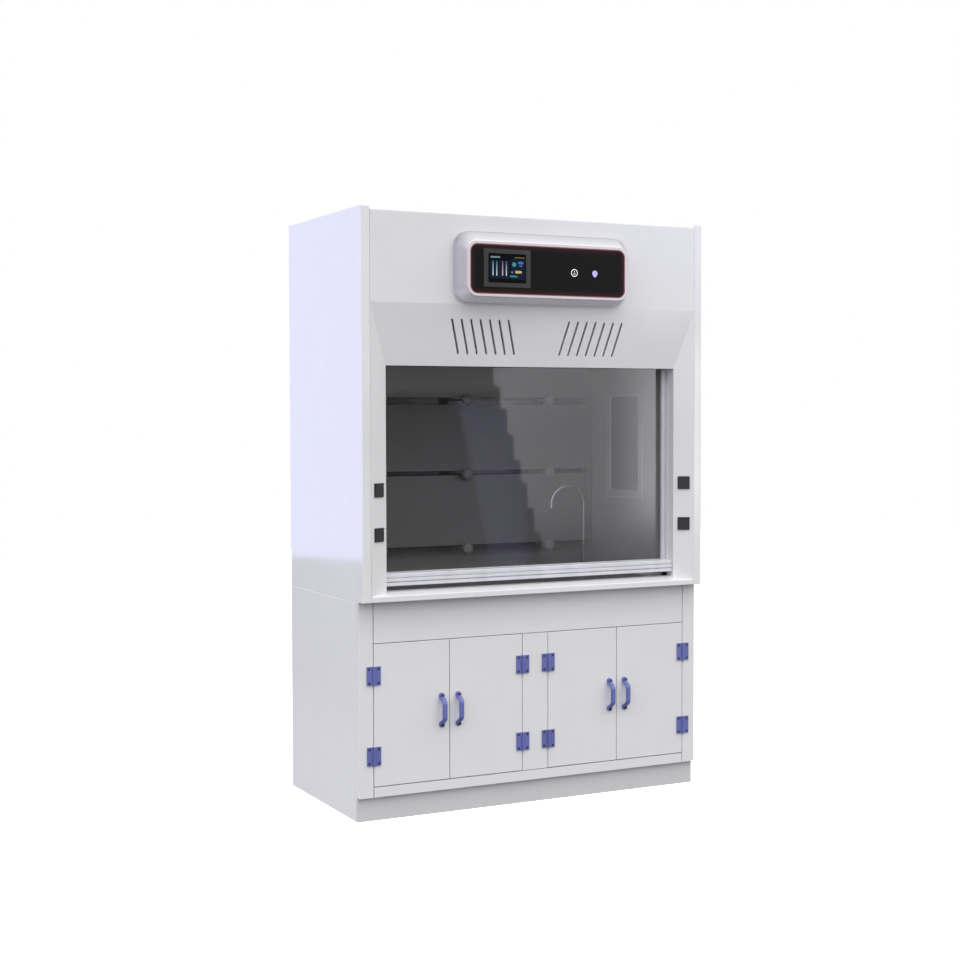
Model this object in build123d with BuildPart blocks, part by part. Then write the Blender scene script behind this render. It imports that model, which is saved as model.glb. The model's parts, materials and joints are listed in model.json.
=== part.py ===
"""Floor-standing laboratory fume hood with a sliding sash, a base cabinet and a control console.

Frame: millimetres, +Z up, the front faces -Y, +X is to the right seen from the front. The origin is the
centre of the whole outline on the floor.
"""

from build123d import *
from math import atan2, degrees, hypot
import os

# Overall size.
WIDTH = 1530.0
DEPTH = 785.0
HEIGHT = 2350.0
BENCH = 850.0
CONSOLE_REACH = 75.0
HALF = WIDTH / 2
FRONT = CONSOLE_REACH / 2 - DEPTH / 2
BACK = FRONT + DEPTH

# Sheet and board thicknesses.
SHEET = 8.0
SIDE_SHEET = 10.0
BOARD = 18.0

# Base cabinet.
CABINET_FRONT = FRONT + 46.0
FRAME_T = 22.0
FRAME_BACK = CABINET_FRONT + FRAME_T
CABINET_BACK_T = 12.0
CABINET_REAR = BACK - CABINET_BACK_T
KICK_H = 95.0
KICK_T = 12.0
EDGE_CHAMFER = 3.0
SHELF_Z = 400.0
SHELF_FRONT = -230.0

# Doors, numbered 1 to 4 from left to right, in two pairs.
DOOR_GAP = 3.0
DOOR_T = 20.0
DOOR_LOW = 136.5
DOOR_HIGH = 686.5
CENTRE_STILE_HALF = 57.0
DOOR_INNER = CENTRE_STILE_HALF + DOOR_GAP
DOOR_OUTER = 703.0
DOOR_W = (DOOR_OUTER - DOOR_INNER - DOOR_GAP) / 2
DOOR_EDGE_R = 1.5
SEAM_D = 11.0

# Butt hinges, two on each door.
HINGE_Z = (255.0, 565.0)
HINGE_H = 72.0
HINGE_HALF_W = 28.5
LEAF_T = 5.0
KNUCKLE_R = 6.0
KNUCKLE_CLEAR = 0.5
KNUCKLE_GAP = 0.4
PIN_R = 2.5
RUNNING_FIT = 0.05
HINGE_Y = CABINET_FRONT - KNUCKLE_R - KNUCKLE_CLEAR
SCREW_HOLE_R = 2.0
SCREW_HEAD_R = 4.0
SCREW_INSET = 9.0

# Bow handles.
HANDLE_Z = 411.0
HANDLE_OFFSET = 36.0
HANDLE_FOOT_Z = 54.0
HANDLE_GRIP_Z = 34.0
HANDLE_REACH = 33.0
HANDLE_BEND = 18.0
HANDLE_W = 21.0
HANDLE_T = 14.0

# Hood shell.
SIDE_EDGE_W = 35.0
SIDE_EDGE_D = 45.0
SIDE_EDGE_R = 3.0
INNER_HALF = HALF - SIDE_EDGE_W
SHEET_HALF = HALF - SIDE_SHEET
ROOF_SETDOWN = 6.0
ROOF_TOP = HEIGHT - ROOF_SETDOWN
ROOF_LOW = ROOF_TOP - SHEET
TOP_RETURN_Y = FRONT + 55.0
TOP_EDGE_R = 12.0
HOOD_REAR = BACK - SHEET

# Bevelled picture frame round the opening.
CREASE_Z = 1990.0
OPEN_TOP = 1752.0
OPEN_HALF = 652.0
OPEN_Y = FRONT + 37.0
JAMB_Y = -265.0
POST_FLANGE = 30.0
BEVEL_RUN = CREASE_Z - OPEN_TOP

# Bypass vents in the top bevel.
VENT_COUNT = 7
VENT_PITCH = 41.0
VENT_W = 9.0
VENT_TOP = 56.0
VENT_BOTTOM = 195.0
VENT_LEAN = 37.0
VENT_INNER_X = 138.0

# Sill, worktop and work chamber.
SILL_FACE_H = 23.0
SILL_TOP = 887.0
SILL_CREST_Y = -286.0
SILL_BACK = -272.0
WORKTOP = 872.0
LINER_HALF = 650.0
LINER_FRONT = -230.0
CEILING = 1830.0
PLENUM_FRONT = -140.0
PLENUM_SLOT_HALF = 400.0

# Access windows in the side liners.
WINDOW_Y = (-60.0, 183.0)
WINDOW_Z = (1227.0, 1646.0)
WINDOW_FLANGE_Y = 23.0
WINDOW_FLANGE_Z = 29.0
WINDOW_FLANGE_T = 5.0
WINDOW_RECESS = 15.0
WINDOW_WALL = 4.0

# Baffle.
BAFFLE_Y = 338.0
BAFFLE_HALF = 648.0
BAFFLE_BANDS = ((996.0, 1300.0), (1321.0, 1606.0), (1638.0, 1812.0))
KNOB_X = (-404.0, 0.0, 404.0)
KNOB_Z = (983.0, 1305.0, 1628.0)
KNOB_R = 26.0
KNOB_HUB_R = 15.0
KNOB_HEAD = 26.0
KNOB_HUB = 20.0
KNOB_EDGE_R = 5.0
STUD_R = 4.0

# Duct collar.
DUCT_Y = 120.0
DUCT_R = 125.0
DUCT_WALL = 4.0
DUCT_RISE = 40.0
DUCT_DROP = 20.0
DUCT_FLANGE_R = 150.0
DUCT_FLANGE_T = 6.0

# Lamp in the ceiling.
LAMP_HALF = 300.0
LAMP_Y = (-100.0, 10.0)
LAMP_LIP = 10.0
LAMP_LIP_T = 4.0
LAMP_H = 56.0

# Sash, at rest a little above the sill.
SASH_FRONT = -261.0
SASH_BACK = -236.0
SASH_HALF = 700.0
SASH_SIGHT_HALF = 632.0
SASH_LOW = 906.0
SASH_STEP = 937.0
RAIL_TOP = 954.0
SASH_TOP = 1785.0
TOP_RAIL_H = 20.0
RAIL_HALF = 650.0
RAIL_FRONT = -313.0
RAIL_STEP = 4.0
RAIL_EDGE_R = 3.0
RAIL_GROOVES = (920.0, 935.5)
RAIL_GROOVE_H = 3.5
RAIL_GROOVE_D = 5.0
GLASS_T = 6.0
GLASS_BITE = 10.0

# Sash tracks, pulleys and counterweights.
TRACK_FLANGE = 8.0
TRACK_CLEAR = 1.0
TRACK_BITE = 10.0
TRACK_WEB = 9.0
TRACK_TOP = 2255.0
SHEAVE_R = 34.0
SHEAVE_RIM_R = 36.0
SHEAVE_W = 12.0
SHAFT_R = 8.0
SHAFT_HALF = 750.0
SHAFT_Y = (SASH_FRONT + SASH_BACK) / 2 + SHEAVE_R
SHAFT_Z = 2294.0
BOSS_R = 20.0
BOSS_L = 20.0
WEIGHT_TOP = 2215.0
WEIGHT_LENGTH = 560.0
WEIGHT_W = 50.0
WEIGHT_D = 60.0
WEIGHT_CHAMFER = 4.0
CABLE_X = 690.0

# Cup sink and tap.
SINK_X = 357.0
TAP_X = 520.0
TAP_Y = 200.0
SINK_L = 230.0
SINK_W = 120.0
SINK_WALL = 5.0
SINK_DEPTH = 120.0
SINK_RIM = 12.0
SINK_RIM_T = 4.0
DRAIN_R = 20.0
DRAIN_L = 50.0
PIPE_R = 5.0
SPOUT_R = 81.5
SPOUT_Z = 1167.0
SPOUT_TIP = 14.0
SPOUT_TIP_R = 6.5
TAP_FLANGE_R = 24.0
TAP_FLANGE_T = 8.0
TAP_COLUMN_R = 13.0
TAP_COLUMN_TOP = 930.0
TAP_COLUMN_EDGE_R = 2.0
TAP_SHANK_R = 10.0
TAP_SHANK_L = 60.0
TAP_NUT_R = 19.0
TAP_NUT_T = 10.0
TAP_BORE_DEPTH = 30.0
TRUNNION_R = 7.0
TRUNNION_STEP = 1.0
TRUNNION_PROUD = 4.0

# Console.
CONSOLE_Z = 2134.0
CONSOLE_W = 765.0
CONSOLE_H = 276.0
CONSOLE_R = 62.0
CONSOLE_WALL_D = 28.0
SHOULDER_R = 34.0
CONSOLE_TIP = FRONT - CONSOLE_REACH
LIP_Z = 2123.5
LIP_W = 716.0
LIP_H = 212.0
LIP_R = 42.0
LIP_EDGE_R = 3.0
CONSOLE_WALL = 12.0
TRIM_W = 692.0
TRIM_H = 192.0
TRIM_R = 32.0
TRIM_BAND = 4.0
TRIM_DEPTH = 7.0
TRIM_T = 6.0
FACE_RECESS = 2.5
FACE_T = 4.0
SCREEN_X = -186.0
SCREEN_Z = 2128.0
SCREEN_W = 204.0
SCREEN_H = 146.0
SCREEN_R = 4.0
SCREEN_LIP = 6.0
SCREEN_PROUD = 2.0
SCREEN_DEPTH = 22.0
GLASS_W = 165.0
GLASS_H = 114.0
BUTTON_Z = 2121.0
BUTTONS = {"button_power": (112.0, 16.5), "button_light": (206.0, 14.5)}
BUTTON_CLEAR = 0.4
BUTTON_CAP = 8.0
BUTTON_EDGE_R = 1.2
BUTTON_STEM_R = 6.0
BUTTON_STEM = 12.0

# Power outlets on the bevelled posts.
OUTLET_Z = (1107.0, 1277.5)
OUTLET_W = 50.0
OUTLET_H = 53.0
OUTLET_T = 3.0
OUTLET_BOX_W = 40.0
OUTLET_BOX_H = 43.0
OUTLET_BOX_D = 32.0
FLAP_W = 47.0
FLAP_T = 2.6
FLAP_GAP = 0.4
FLAP_BARREL_HALF = 19.0
FLAP_BARREL_R = 2.2
FLAP_PIN_R = 1.2
FLAP_AXIS_UP = 22.5
FLAP_AXIS_OUT = 5.8
FLAP_PLATE_TOP = 16.0
FLAP_CORNER_R = 2.0
EAR_W = 4.0
EAR_H = 6.0
EAR_GAP = 0.5

os.makedirs("parts", exist_ok=True)


def save(built, label):
    """Labels a finished piece and writes it."""
    built.part.label = label
    export_step(built.part, f"parts/{label}.step")


def block(low, high, mode=Mode.ADD):
    """An upright block between two opposite corners, in the active part."""
    middle = tuple((low[i] + high[i]) / 2 for i in range(3))
    with Locations(middle):
        Box(*[high[i] - low[i] for i in range(3)], mode=mode)


def rod(start, direction, radius, length, mode=Mode.ADD):
    """A round bar from a point along a direction, in the active part."""
    with Locations(Plane(origin=start, z_dir=direction)):
        Cylinder(radius, length, align=(Align.CENTER, Align.CENTER, Align.MIN), mode=mode)


def facing_front(y):
    """The plane facing the front at a given Y."""
    return Plane.XZ.offset(-y)


# ---------------------------------------------------------------- base cabinet


def cabinet_side(sign):
    """A side board, set back at its foot for the toe-kick."""
    outline = [
        (KICK_T + FRAME_BACK, 0),
        (BACK, 0),
        (BACK, BENCH),
        (FRAME_BACK, BENCH),
        (FRAME_BACK, KICK_H),
        (KICK_T + FRAME_BACK, KICK_H),
    ]
    with BuildPart() as side:
        with BuildSketch(Plane.YZ.offset(sign * HALF)):
            with BuildLine():
                Polyline(outline, close=True)
            make_face()
        extrude(amount=-sign * BOARD)
        outer = side.faces().sort_by(Axis.X)[-1 if sign > 0 else 0]
        chamfer(outer.edges().sort_by(Axis.Z)[-1], EDGE_CHAMFER)
    return side


save(cabinet_side(-1), "cabinet_side_left")
save(cabinet_side(1), "cabinet_side_right")

INSIDE_HALF = HALF - BOARD

with BuildPart() as cabinet_back:
    block((-INSIDE_HALF, CABINET_REAR, 0), (INSIDE_HALF, BACK, BENCH))
save(cabinet_back, "cabinet_back")

with BuildPart() as cabinet_floor:
    block((-INSIDE_HALF, FRAME_BACK, KICK_H), (INSIDE_HALF, CABINET_REAR, KICK_H + BOARD))
save(cabinet_floor, "cabinet_floor")

with BuildPart() as cabinet_divider:
    block((-BOARD / 2, FRAME_BACK, KICK_H + BOARD), (BOARD / 2, CABINET_REAR, BENCH))
save(cabinet_divider, "cabinet_divider")

with BuildPart() as toe_kick:
    block((-HALF, FRAME_BACK, 0), (HALF, FRAME_BACK + KICK_T, KICK_H))
save(toe_kick, "toe_kick")

# Two shelf boards, one in each compartment.
with BuildPart() as shelves:
    for sign in (-1, 1):
        inner, outer = sorted((sign * BOARD / 2, sign * INSIDE_HALF))
        block((inner, SHELF_FRONT, SHELF_Z), (outer, CABINET_REAR, SHELF_Z + BOARD))
save(shelves, "cabinet_shelves")

# Outer stiles, and the apron, centre stile and bottom rail in one welded piece. A seam as wide as
# the gaps round the doors crosses the centre stile at its head and its foot.
with BuildPart() as front_frame:
    for sign in (-1, 1):
        inner, outer = sorted((sign * (DOOR_OUTER + DOOR_GAP), sign * HALF))
        block((inner, CABINET_FRONT, KICK_H), (outer, FRAME_BACK, BENCH))
    block((-DOOR_OUTER, CABINET_FRONT, DOOR_HIGH + DOOR_GAP), (DOOR_OUTER, FRAME_BACK, BENCH))
    block((-DOOR_OUTER, CABINET_FRONT, KICK_H), (DOOR_OUTER, FRAME_BACK, DOOR_LOW - DOOR_GAP))
    block(
        (-CENTRE_STILE_HALF, CABINET_FRONT, KICK_H),
        (CENTRE_STILE_HALF, FRAME_BACK, BENCH),
    )
    front_edges = front_frame.faces().filter_by(Axis.Y).sort_by(Axis.Y)[0:3].edges()
    fillet(front_edges.filter_by(Axis.Z), DOOR_EDGE_R)
    for seam_low in (DOOR_LOW - DOOR_GAP, DOOR_HIGH):
        seam_start = (-CENTRE_STILE_HALF, CABINET_FRONT, seam_low)
        seam_end = (CENTRE_STILE_HALF, CABINET_FRONT + SEAM_D, seam_low + DOOR_GAP)
        block(seam_start, seam_end, Mode.SUBTRACT)
save(front_frame, "cabinet_front_frame")

# ---------------------------------------------------------------- doors

# Each door: its low and high X, and the side its hinges are on.
DOORS = (
    (-DOOR_OUTER, -DOOR_OUTER + DOOR_W, -1),
    (-DOOR_INNER - DOOR_W, -DOOR_INNER, 1),
    (DOOR_INNER, DOOR_INNER + DOOR_W, -1),
    (DOOR_OUTER - DOOR_W, DOOR_OUTER, 1),
)


def hinge_line(low, high, side):
    """X of a door's hinge axis, in the middle of the gap beside it."""
    return low - DOOR_GAP / 2 if side < 0 else high + DOOR_GAP / 2


def hinge_leaf(x, z, side, knuckles, bore):
    """One hinge leaf on a side of the axis, with its share of the knuckles, in the active part."""
    reach = KNUCKLE_R + KNUCKLE_GAP
    near, far = sorted((x + side * reach, x + side * HINGE_HALF_W))
    front = CABINET_FRONT - LEAF_T
    block((near, front, z - HINGE_H / 2), (far, CABINET_FRONT, z + HINGE_H / 2))
    for low, high in knuckles:
        web_near, web_far = sorted((x, x + side * (reach + 1)))
        block((web_near, front, z + low), (web_far, CABINET_FRONT - KNUCKLE_CLEAR, z + high))
        rod((x, HINGE_Y, z + low), (0, 0, 1), KNUCKLE_R, high - low)
    rod((x, HINGE_Y, z - HINGE_H / 2), (0, 0, 1), bore, HINGE_H, Mode.SUBTRACT)
    for end in (-1, 1):
        hole = (x + side * (HINGE_HALF_W - SCREW_INSET), front, z + end * (HINGE_H / 2 - SCREW_INSET))
        with Locations(Plane(origin=hole, z_dir=(0, -1, 0))):
            CounterSinkHole(SCREW_HOLE_R, SCREW_HEAD_R)


THIRD = HINGE_H / 6
MIDDLE_KNUCKLE = ((-THIRD + KNUCKLE_GAP, THIRD - KNUCKLE_GAP),)
END_KNUCKLES = ((-HINGE_H / 2, -THIRD), (THIRD, HINGE_H / 2))

for number, (low, high, side) in enumerate(DOORS, start=1):
    with BuildPart() as door:
        block((low, CABINET_FRONT, DOOR_LOW), (high, CABINET_FRONT + DOOR_T, DOOR_HIGH))
        fillet(door.faces().sort_by(Axis.Y)[0].edges(), DOOR_EDGE_R)
    save(door, f"door_{number}")

    with BuildPart() as leaves:
        for z in HINGE_Z:
            hinge_leaf(hinge_line(low, high, side), z, -side, MIDDLE_KNUCKLE, PIN_R + RUNNING_FIT)
    save(leaves, f"door_{number}_hinge_leaves")

    handle_x = (low if side > 0 else high) + side * (HANDLE_OFFSET - DOOR_GAP / 2)
    foot_y = CABINET_FRONT + HANDLE_REACH / 2
    foot_z = HANDLE_FOOT_Z + (HANDLE_FOOT_Z - HANDLE_GRIP_Z) / 2
    with BuildPart() as handle:
        with BuildLine() as bow:
            FilletPolyline(
                (handle_x, foot_y, HANDLE_Z - foot_z),
                (handle_x, CABINET_FRONT - HANDLE_REACH, HANDLE_Z - HANDLE_GRIP_Z),
                (handle_x, CABINET_FRONT - HANDLE_REACH, HANDLE_Z + HANDLE_GRIP_Z),
                (handle_x, foot_y, HANDLE_Z + foot_z),
                radius=HANDLE_BEND,
            )
        with BuildSketch(Plane(origin=bow.line @ 0, x_dir=(1, 0, 0), z_dir=bow.line % 0)):
            Ellipse(HANDLE_W / 2, HANDLE_T / 2)
        sweep(path=bow.line)
        split(bisect_by=facing_front(CABINET_FRONT), keep=Keep.TOP)
    save(handle, f"door_{number}_handle")

# The eight leaves on the frame, and the pins pressed into them.
with BuildPart() as fixed_leaves:
    for low, high, side in DOORS:
        for z in HINGE_Z:
            hinge_leaf(hinge_line(low, high, side), z, side, END_KNUCKLES, PIN_R)
save(fixed_leaves, "hinge_frame_leaves")

with BuildPart() as hinge_pins:
    for low, high, side in DOORS:
        for z in HINGE_Z:
            start = (hinge_line(low, high, side), HINGE_Y, z - HINGE_H / 2)
            rod(start, (0, 0, 1), PIN_R, HINGE_H)
save(hinge_pins, "hinge_pins")

# ---------------------------------------------------------------- hood shell


def hood_side(sign):
    """An outer side sheet with its thick front edge and the boss that carries the pulley shaft."""
    outer, sheet, edge = sign * HALF, sign * SHEET_HALF, sign * INNER_HALF
    with BuildPart() as side:
        low, high = sorted((outer, sheet))
        block((low, FRONT, BENCH), (high, BACK, HEIGHT))
        low, high = sorted((outer, edge))
        block((low, FRONT, BENCH), (high, FRONT + SIDE_EDGE_D, HEIGHT))
        face = side.faces().sort_by(Axis.Y)[0]
        fillet(face.edges(), SIDE_EDGE_R)
        start = (sheet, SHAFT_Y, SHAFT_Z)
        rod(start, (-sign, 0, 0), BOSS_R, BOSS_L)
        mouth = (sheet - sign * BOSS_L, SHAFT_Y, SHAFT_Z)
        depth = BOSS_L - (SHEET_HALF - SHAFT_HALF) + 1
        rod(mouth, (sign, 0, 0), SHAFT_R + RUNNING_FIT, depth, Mode.SUBTRACT)
    return side


save(hood_side(-1), "hood_side_left")
save(hood_side(1), "hood_side_right")

with BuildPart() as hood_back:
    block((-SHEET_HALF, HOOD_REAR, BENCH), (SHEET_HALF, BACK, ROOF_LOW))
save(hood_back, "hood_back")

with BuildPart() as hood_roof:
    block((-SHEET_HALF, TOP_RETURN_Y, ROOF_LOW), (SHEET_HALF, BACK, ROOF_TOP))
    rod((0, DUCT_Y, ROOF_LOW), (0, 0, 1), DUCT_R, SHEET, Mode.SUBTRACT)
save(hood_roof, "hood_roof")

with BuildPart() as duct_collar:
    rod((0, DUCT_Y, ROOF_LOW - DUCT_DROP), (0, 0, 1), DUCT_R, HEIGHT + DUCT_RISE - ROOF_LOW + DUCT_DROP)
    rod((0, DUCT_Y, ROOF_TOP), (0, 0, 1), DUCT_FLANGE_R, DUCT_FLANGE_T)
    bore = DUCT_R - DUCT_WALL
    rod((0, DUCT_Y, ROOF_LOW - DUCT_DROP), (0, 0, 1), bore, 2 * DUCT_R, Mode.SUBTRACT)
save(duct_collar, "duct_collar")

# The flat panel above the opening turns back over a rounded edge to meet the roof.
with BuildPart() as front_top_panel:
    block((-INNER_HALF, FRONT, CREASE_Z), (INNER_HALF, TOP_RETURN_Y, ROOF_TOP))
    fillet(front_top_panel.edges().filter_by(Axis.X).group_by(Axis.Y)[0].sort_by(Axis.Z)[-1], TOP_EDGE_R)
    block(
        (-INNER_HALF, FRONT + SIDE_SHEET, CREASE_Z),
        (INNER_HALF, TOP_RETURN_Y, ROOF_LOW),
        Mode.SUBTRACT,
    )
save(front_top_panel, "front_top_panel")

with BuildPart() as sill:
    with BuildSketch(Plane.YZ.offset(-INNER_HALF)):
        with BuildLine():
            Polyline(
                (FRONT, BENCH),
                (SILL_BACK, BENCH),
                (SILL_BACK, SILL_TOP),
                (SILL_CREST_Y, SILL_TOP),
                (FRONT, BENCH + SILL_FACE_H),
                close=True,
            )
        make_face()
    extrude(amount=2 * INNER_HALF)
    fillet(sill.edges().filter_by(Axis.X).group_by(Axis.Y)[0], SIDE_EDGE_R)
save(sill, "sill")

# The mitre runs through the frame's upper corners, parallel to Y.
MITRE_X = INNER_HALF - OPEN_HALF
mitre_right = Plane(origin=(INNER_HALF, 0, CREASE_Z), x_dir=(0, 1, 0), z_dir=(-BEVEL_RUN, 0, MITRE_X))
mitre_left = Plane(origin=(-INNER_HALF, 0, CREASE_Z), x_dir=(0, 1, 0), z_dir=(BEVEL_RUN, 0, MITRE_X))

# The post's face lies between these two vertical lines.
BEVEL_W = hypot(INNER_HALF - OPEN_HALF, OPEN_Y - FRONT)
BEVEL_SIN = (OPEN_Y - FRONT) / BEVEL_W
BEVEL_COS = (INNER_HALF - OPEN_HALF) / BEVEL_W


def outlet_plane(sign, z):
    """The plane on a post's bevel at an outlet's centre, with local Y up."""
    origin = (sign * (INNER_HALF + OPEN_HALF) / 2, (FRONT + OPEN_Y) / 2, z)
    along, outward = (BEVEL_COS, -sign * BEVEL_SIN, 0), (-sign * BEVEL_SIN, -BEVEL_COS, 0)
    return Plane(origin=origin, x_dir=along, z_dir=outward)


with BuildPart() as post_right:
    with BuildSketch(Plane.XY.offset(WORKTOP)):
        with BuildLine():
            Polyline(
                (INNER_HALF, FRONT + POST_FLANGE),
                (INNER_HALF, FRONT),
                (OPEN_HALF, OPEN_Y),
                (OPEN_HALF, JAMB_Y),
            )
            offset(amount=SHEET, side=Side.RIGHT, kind=Kind.INTERSECTION)
        make_face()
    extrude(amount=CREASE_Z - WORKTOP)
    split(bisect_by=mitre_right, keep=Keep.BOTTOM)
    add(sill.part, mode=Mode.SUBTRACT)
    for z in OUTLET_Z:
        with BuildSketch(outlet_plane(1, z).offset(-2 * SHEET)):
            Rectangle(OUTLET_BOX_W, OUTLET_BOX_H)
        extrude(amount=4 * SHEET, mode=Mode.SUBTRACT)
save(post_right, "post_right")

with BuildPart() as post_left:
    mirror(post_right.part, about=Plane.YZ)
save(post_left, "post_left")

with BuildPart() as valance:
    with BuildSketch(Plane.YZ.offset(-INNER_HALF)):
        with BuildLine():
            Polyline((FRONT, CREASE_Z), (OPEN_Y, OPEN_TOP), (JAMB_Y, OPEN_TOP))
            offset(amount=SHEET, side=Side.LEFT, kind=Kind.INTERSECTION)
        make_face()
    extrude(amount=2 * INNER_HALF)
    split(bisect_by=mitre_right, keep=Keep.TOP)
    split(bisect_by=mitre_left, keep=Keep.TOP)
    split(bisect_by=Plane.XY.offset(CREASE_Z), keep=Keep.BOTTOM)
    bevel = Plane(origin=(0, FRONT, CREASE_Z), x_dir=(1, 0, 0), z_dir=(0, -BEVEL_RUN, FRONT - OPEN_Y))
    vent_length = hypot(VENT_BOTTOM - VENT_TOP, VENT_LEAN)
    vent_angle = degrees(atan2(VENT_BOTTOM - VENT_TOP, VENT_LEAN))
    with BuildSketch(bevel.offset(-2 * SHEET)):
        for index in range(VENT_COUNT):
            x = VENT_INNER_X - VENT_LEAN / 2 + index * VENT_PITCH
            middle = -(VENT_TOP + VENT_BOTTOM) / 2
            with Locations((x, middle)):
                SlotOverall(vent_length, VENT_W, rotation=vent_angle)
            with Locations((-x, middle)):
                SlotOverall(vent_length, VENT_W, rotation=180 - vent_angle)
    extrude(amount=4 * SHEET, mode=Mode.SUBTRACT)
save(valance, "valance")

# ---------------------------------------------------------------- work chamber


def sink_outline(extra):
    """The cup sink's long round outline, grown by an amount, in the active sketch."""
    with Locations((SINK_X, TAP_Y)):
        SlotOverall(SINK_L + 2 * extra, SINK_W + 2 * extra)


with BuildPart() as worktop:
    block((-SHEET_HALF, SILL_BACK, BENCH), (SHEET_HALF, HOOD_REAR, WORKTOP))
    with BuildSketch(Plane.XY.offset(BENCH)):
        sink_outline(SINK_WALL)
    extrude(amount=WORKTOP - BENCH, mode=Mode.SUBTRACT)
    rod((TAP_X, TAP_Y, BENCH), (0, 0, 1), TAP_SHANK_R, WORKTOP - BENCH, Mode.SUBTRACT)
save(worktop, "worktop")

with BuildPart() as cup_sink:
    with BuildSketch(Plane.XY.offset(WORKTOP - SINK_DEPTH)):
        sink_outline(SINK_WALL)
    extrude(amount=SINK_DEPTH)
    with BuildSketch(Plane.XY.offset(WORKTOP)):
        sink_outline(SINK_RIM)
    extrude(amount=SINK_RIM_T)
    drain_top = WORKTOP - SINK_DEPTH
    rod((SINK_X, TAP_Y, drain_top), (0, 0, -1), DRAIN_R, DRAIN_L)
    with BuildSketch(Plane.XY.offset(drain_top + SINK_WALL)):
        sink_outline(0)
    extrude(amount=SINK_DEPTH, mode=Mode.SUBTRACT)
    rod((SINK_X, TAP_Y, drain_top - DRAIN_L), (0, 0, 1), DRAIN_R - SINK_WALL, 2 * DRAIN_L, Mode.SUBTRACT)
    fillet(cup_sink.faces().sort_by(Axis.Z)[-1].edges(), SINK_RIM_T / 4)
save(cup_sink, "cup_sink")

with BuildPart() as tap_body:
    rod((TAP_X, TAP_Y, WORKTOP), (0, 0, 1), TAP_FLANGE_R, TAP_FLANGE_T)
    rod((TAP_X, TAP_Y, WORKTOP), (0, 0, 1), TAP_COLUMN_R, TAP_COLUMN_TOP - WORKTOP)
    fillet(tap_body.edges().filter_by(GeomType.CIRCLE).group_by(Axis.Z)[-1], TAP_COLUMN_EDGE_R)
    rod((TAP_X, TAP_Y, WORKTOP - TAP_SHANK_L), (0, 0, 1), TAP_SHANK_R, TAP_SHANK_L)
    rod((TAP_X, TAP_Y, BENCH - TAP_NUT_T), (0, 0, 1), TAP_NUT_R, TAP_NUT_T)
    bore_low = (TAP_X, TAP_Y, TAP_COLUMN_TOP - TAP_BORE_DEPTH)
    rod(bore_low, (0, 0, 1), TRUNNION_R + RUNNING_FIT, TAP_BORE_DEPTH, Mode.SUBTRACT)
save(tap_body, "tap_body")

with BuildPart() as tap_spout:
    with BuildLine() as spout_path:
        tip_x = TAP_X - 2 * SPOUT_R
        rise = Line((TAP_X, TAP_Y, TAP_COLUMN_TOP), (TAP_X, TAP_Y, SPOUT_Z))
        crown = (TAP_X - SPOUT_R, TAP_Y, SPOUT_Z + SPOUT_R)
        ThreePointArc(rise @ 1, crown, (tip_x, TAP_Y, SPOUT_Z))
        Line((tip_x, TAP_Y, SPOUT_Z), (tip_x, TAP_Y, SPOUT_Z - SPOUT_TIP))
    with BuildSketch(Plane.XY.offset(TAP_COLUMN_TOP)):
        with Locations((TAP_X, TAP_Y)):
            Circle(PIPE_R)
    sweep(path=spout_path.line)
    trunnion_low = (TAP_X, TAP_Y, TAP_COLUMN_TOP - TAP_BORE_DEPTH + TRUNNION_STEP)
    rod(trunnion_low, (0, 0, 1), TRUNNION_R, TAP_BORE_DEPTH - TRUNNION_STEP + TRUNNION_PROUD)
    rod((tip_x, TAP_Y, SPOUT_Z - SPOUT_TIP), (0, 0, 1), SPOUT_TIP_R, SPOUT_TIP)
save(tap_spout, "tap_spout")


def liner(sign):
    """A side wall of the work chamber and of the plenum above it, with its window cut out."""
    outline = [
        (LINER_FRONT, WORKTOP),
        (HOOD_REAR, WORKTOP),
        (HOOD_REAR, ROOF_LOW),
        (PLENUM_FRONT, ROOF_LOW),
        (PLENUM_FRONT, CEILING + SHEET),
        (LINER_FRONT, CEILING + SHEET),
    ]
    with BuildPart() as wall:
        with BuildSketch(Plane.YZ.offset(sign * LINER_HALF)):
            with BuildLine():
                Polyline(outline, close=True)
            make_face()
            with Locations((sum(WINDOW_Y) / 2, sum(WINDOW_Z) / 2)):
                Rectangle(WINDOW_Y[1] - WINDOW_Y[0], WINDOW_Z[1] - WINDOW_Z[0], mode=Mode.SUBTRACT)
        extrude(amount=sign * SHEET)
    return wall


save(liner(-1), "liner_left")
save(liner(1), "liner_right")


def access_panel(sign):
    """A recessed tray with a flange, filling a liner's window, in the active part."""
    face = sign * LINER_HALF
    low, high = sorted((face - sign * WINDOW_FLANGE_T, face))
    block(
        (low, WINDOW_Y[0] - WINDOW_FLANGE_Y, WINDOW_Z[0] - WINDOW_FLANGE_Z),
        (high, WINDOW_Y[1] + WINDOW_FLANGE_Y, WINDOW_Z[1] + WINDOW_FLANGE_Z),
    )
    depth = WINDOW_RECESS - WINDOW_FLANGE_T
    low, high = sorted((face, face + sign * (depth + WINDOW_WALL)))
    block((low, WINDOW_Y[0], WINDOW_Z[0]), (high, WINDOW_Y[1], WINDOW_Z[1]))
    low, high = sorted((face - sign * WINDOW_FLANGE_T, face + sign * depth))
    block(
        (low, WINDOW_Y[0] + WINDOW_WALL, WINDOW_Z[0] + WINDOW_WALL),
        (high, WINDOW_Y[1] - WINDOW_WALL, WINDOW_Z[1] - WINDOW_WALL),
        Mode.SUBTRACT,
    )


with BuildPart() as access_panels:
    access_panel(-1)
    access_panel(1)
save(access_panels, "access_panels")

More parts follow.
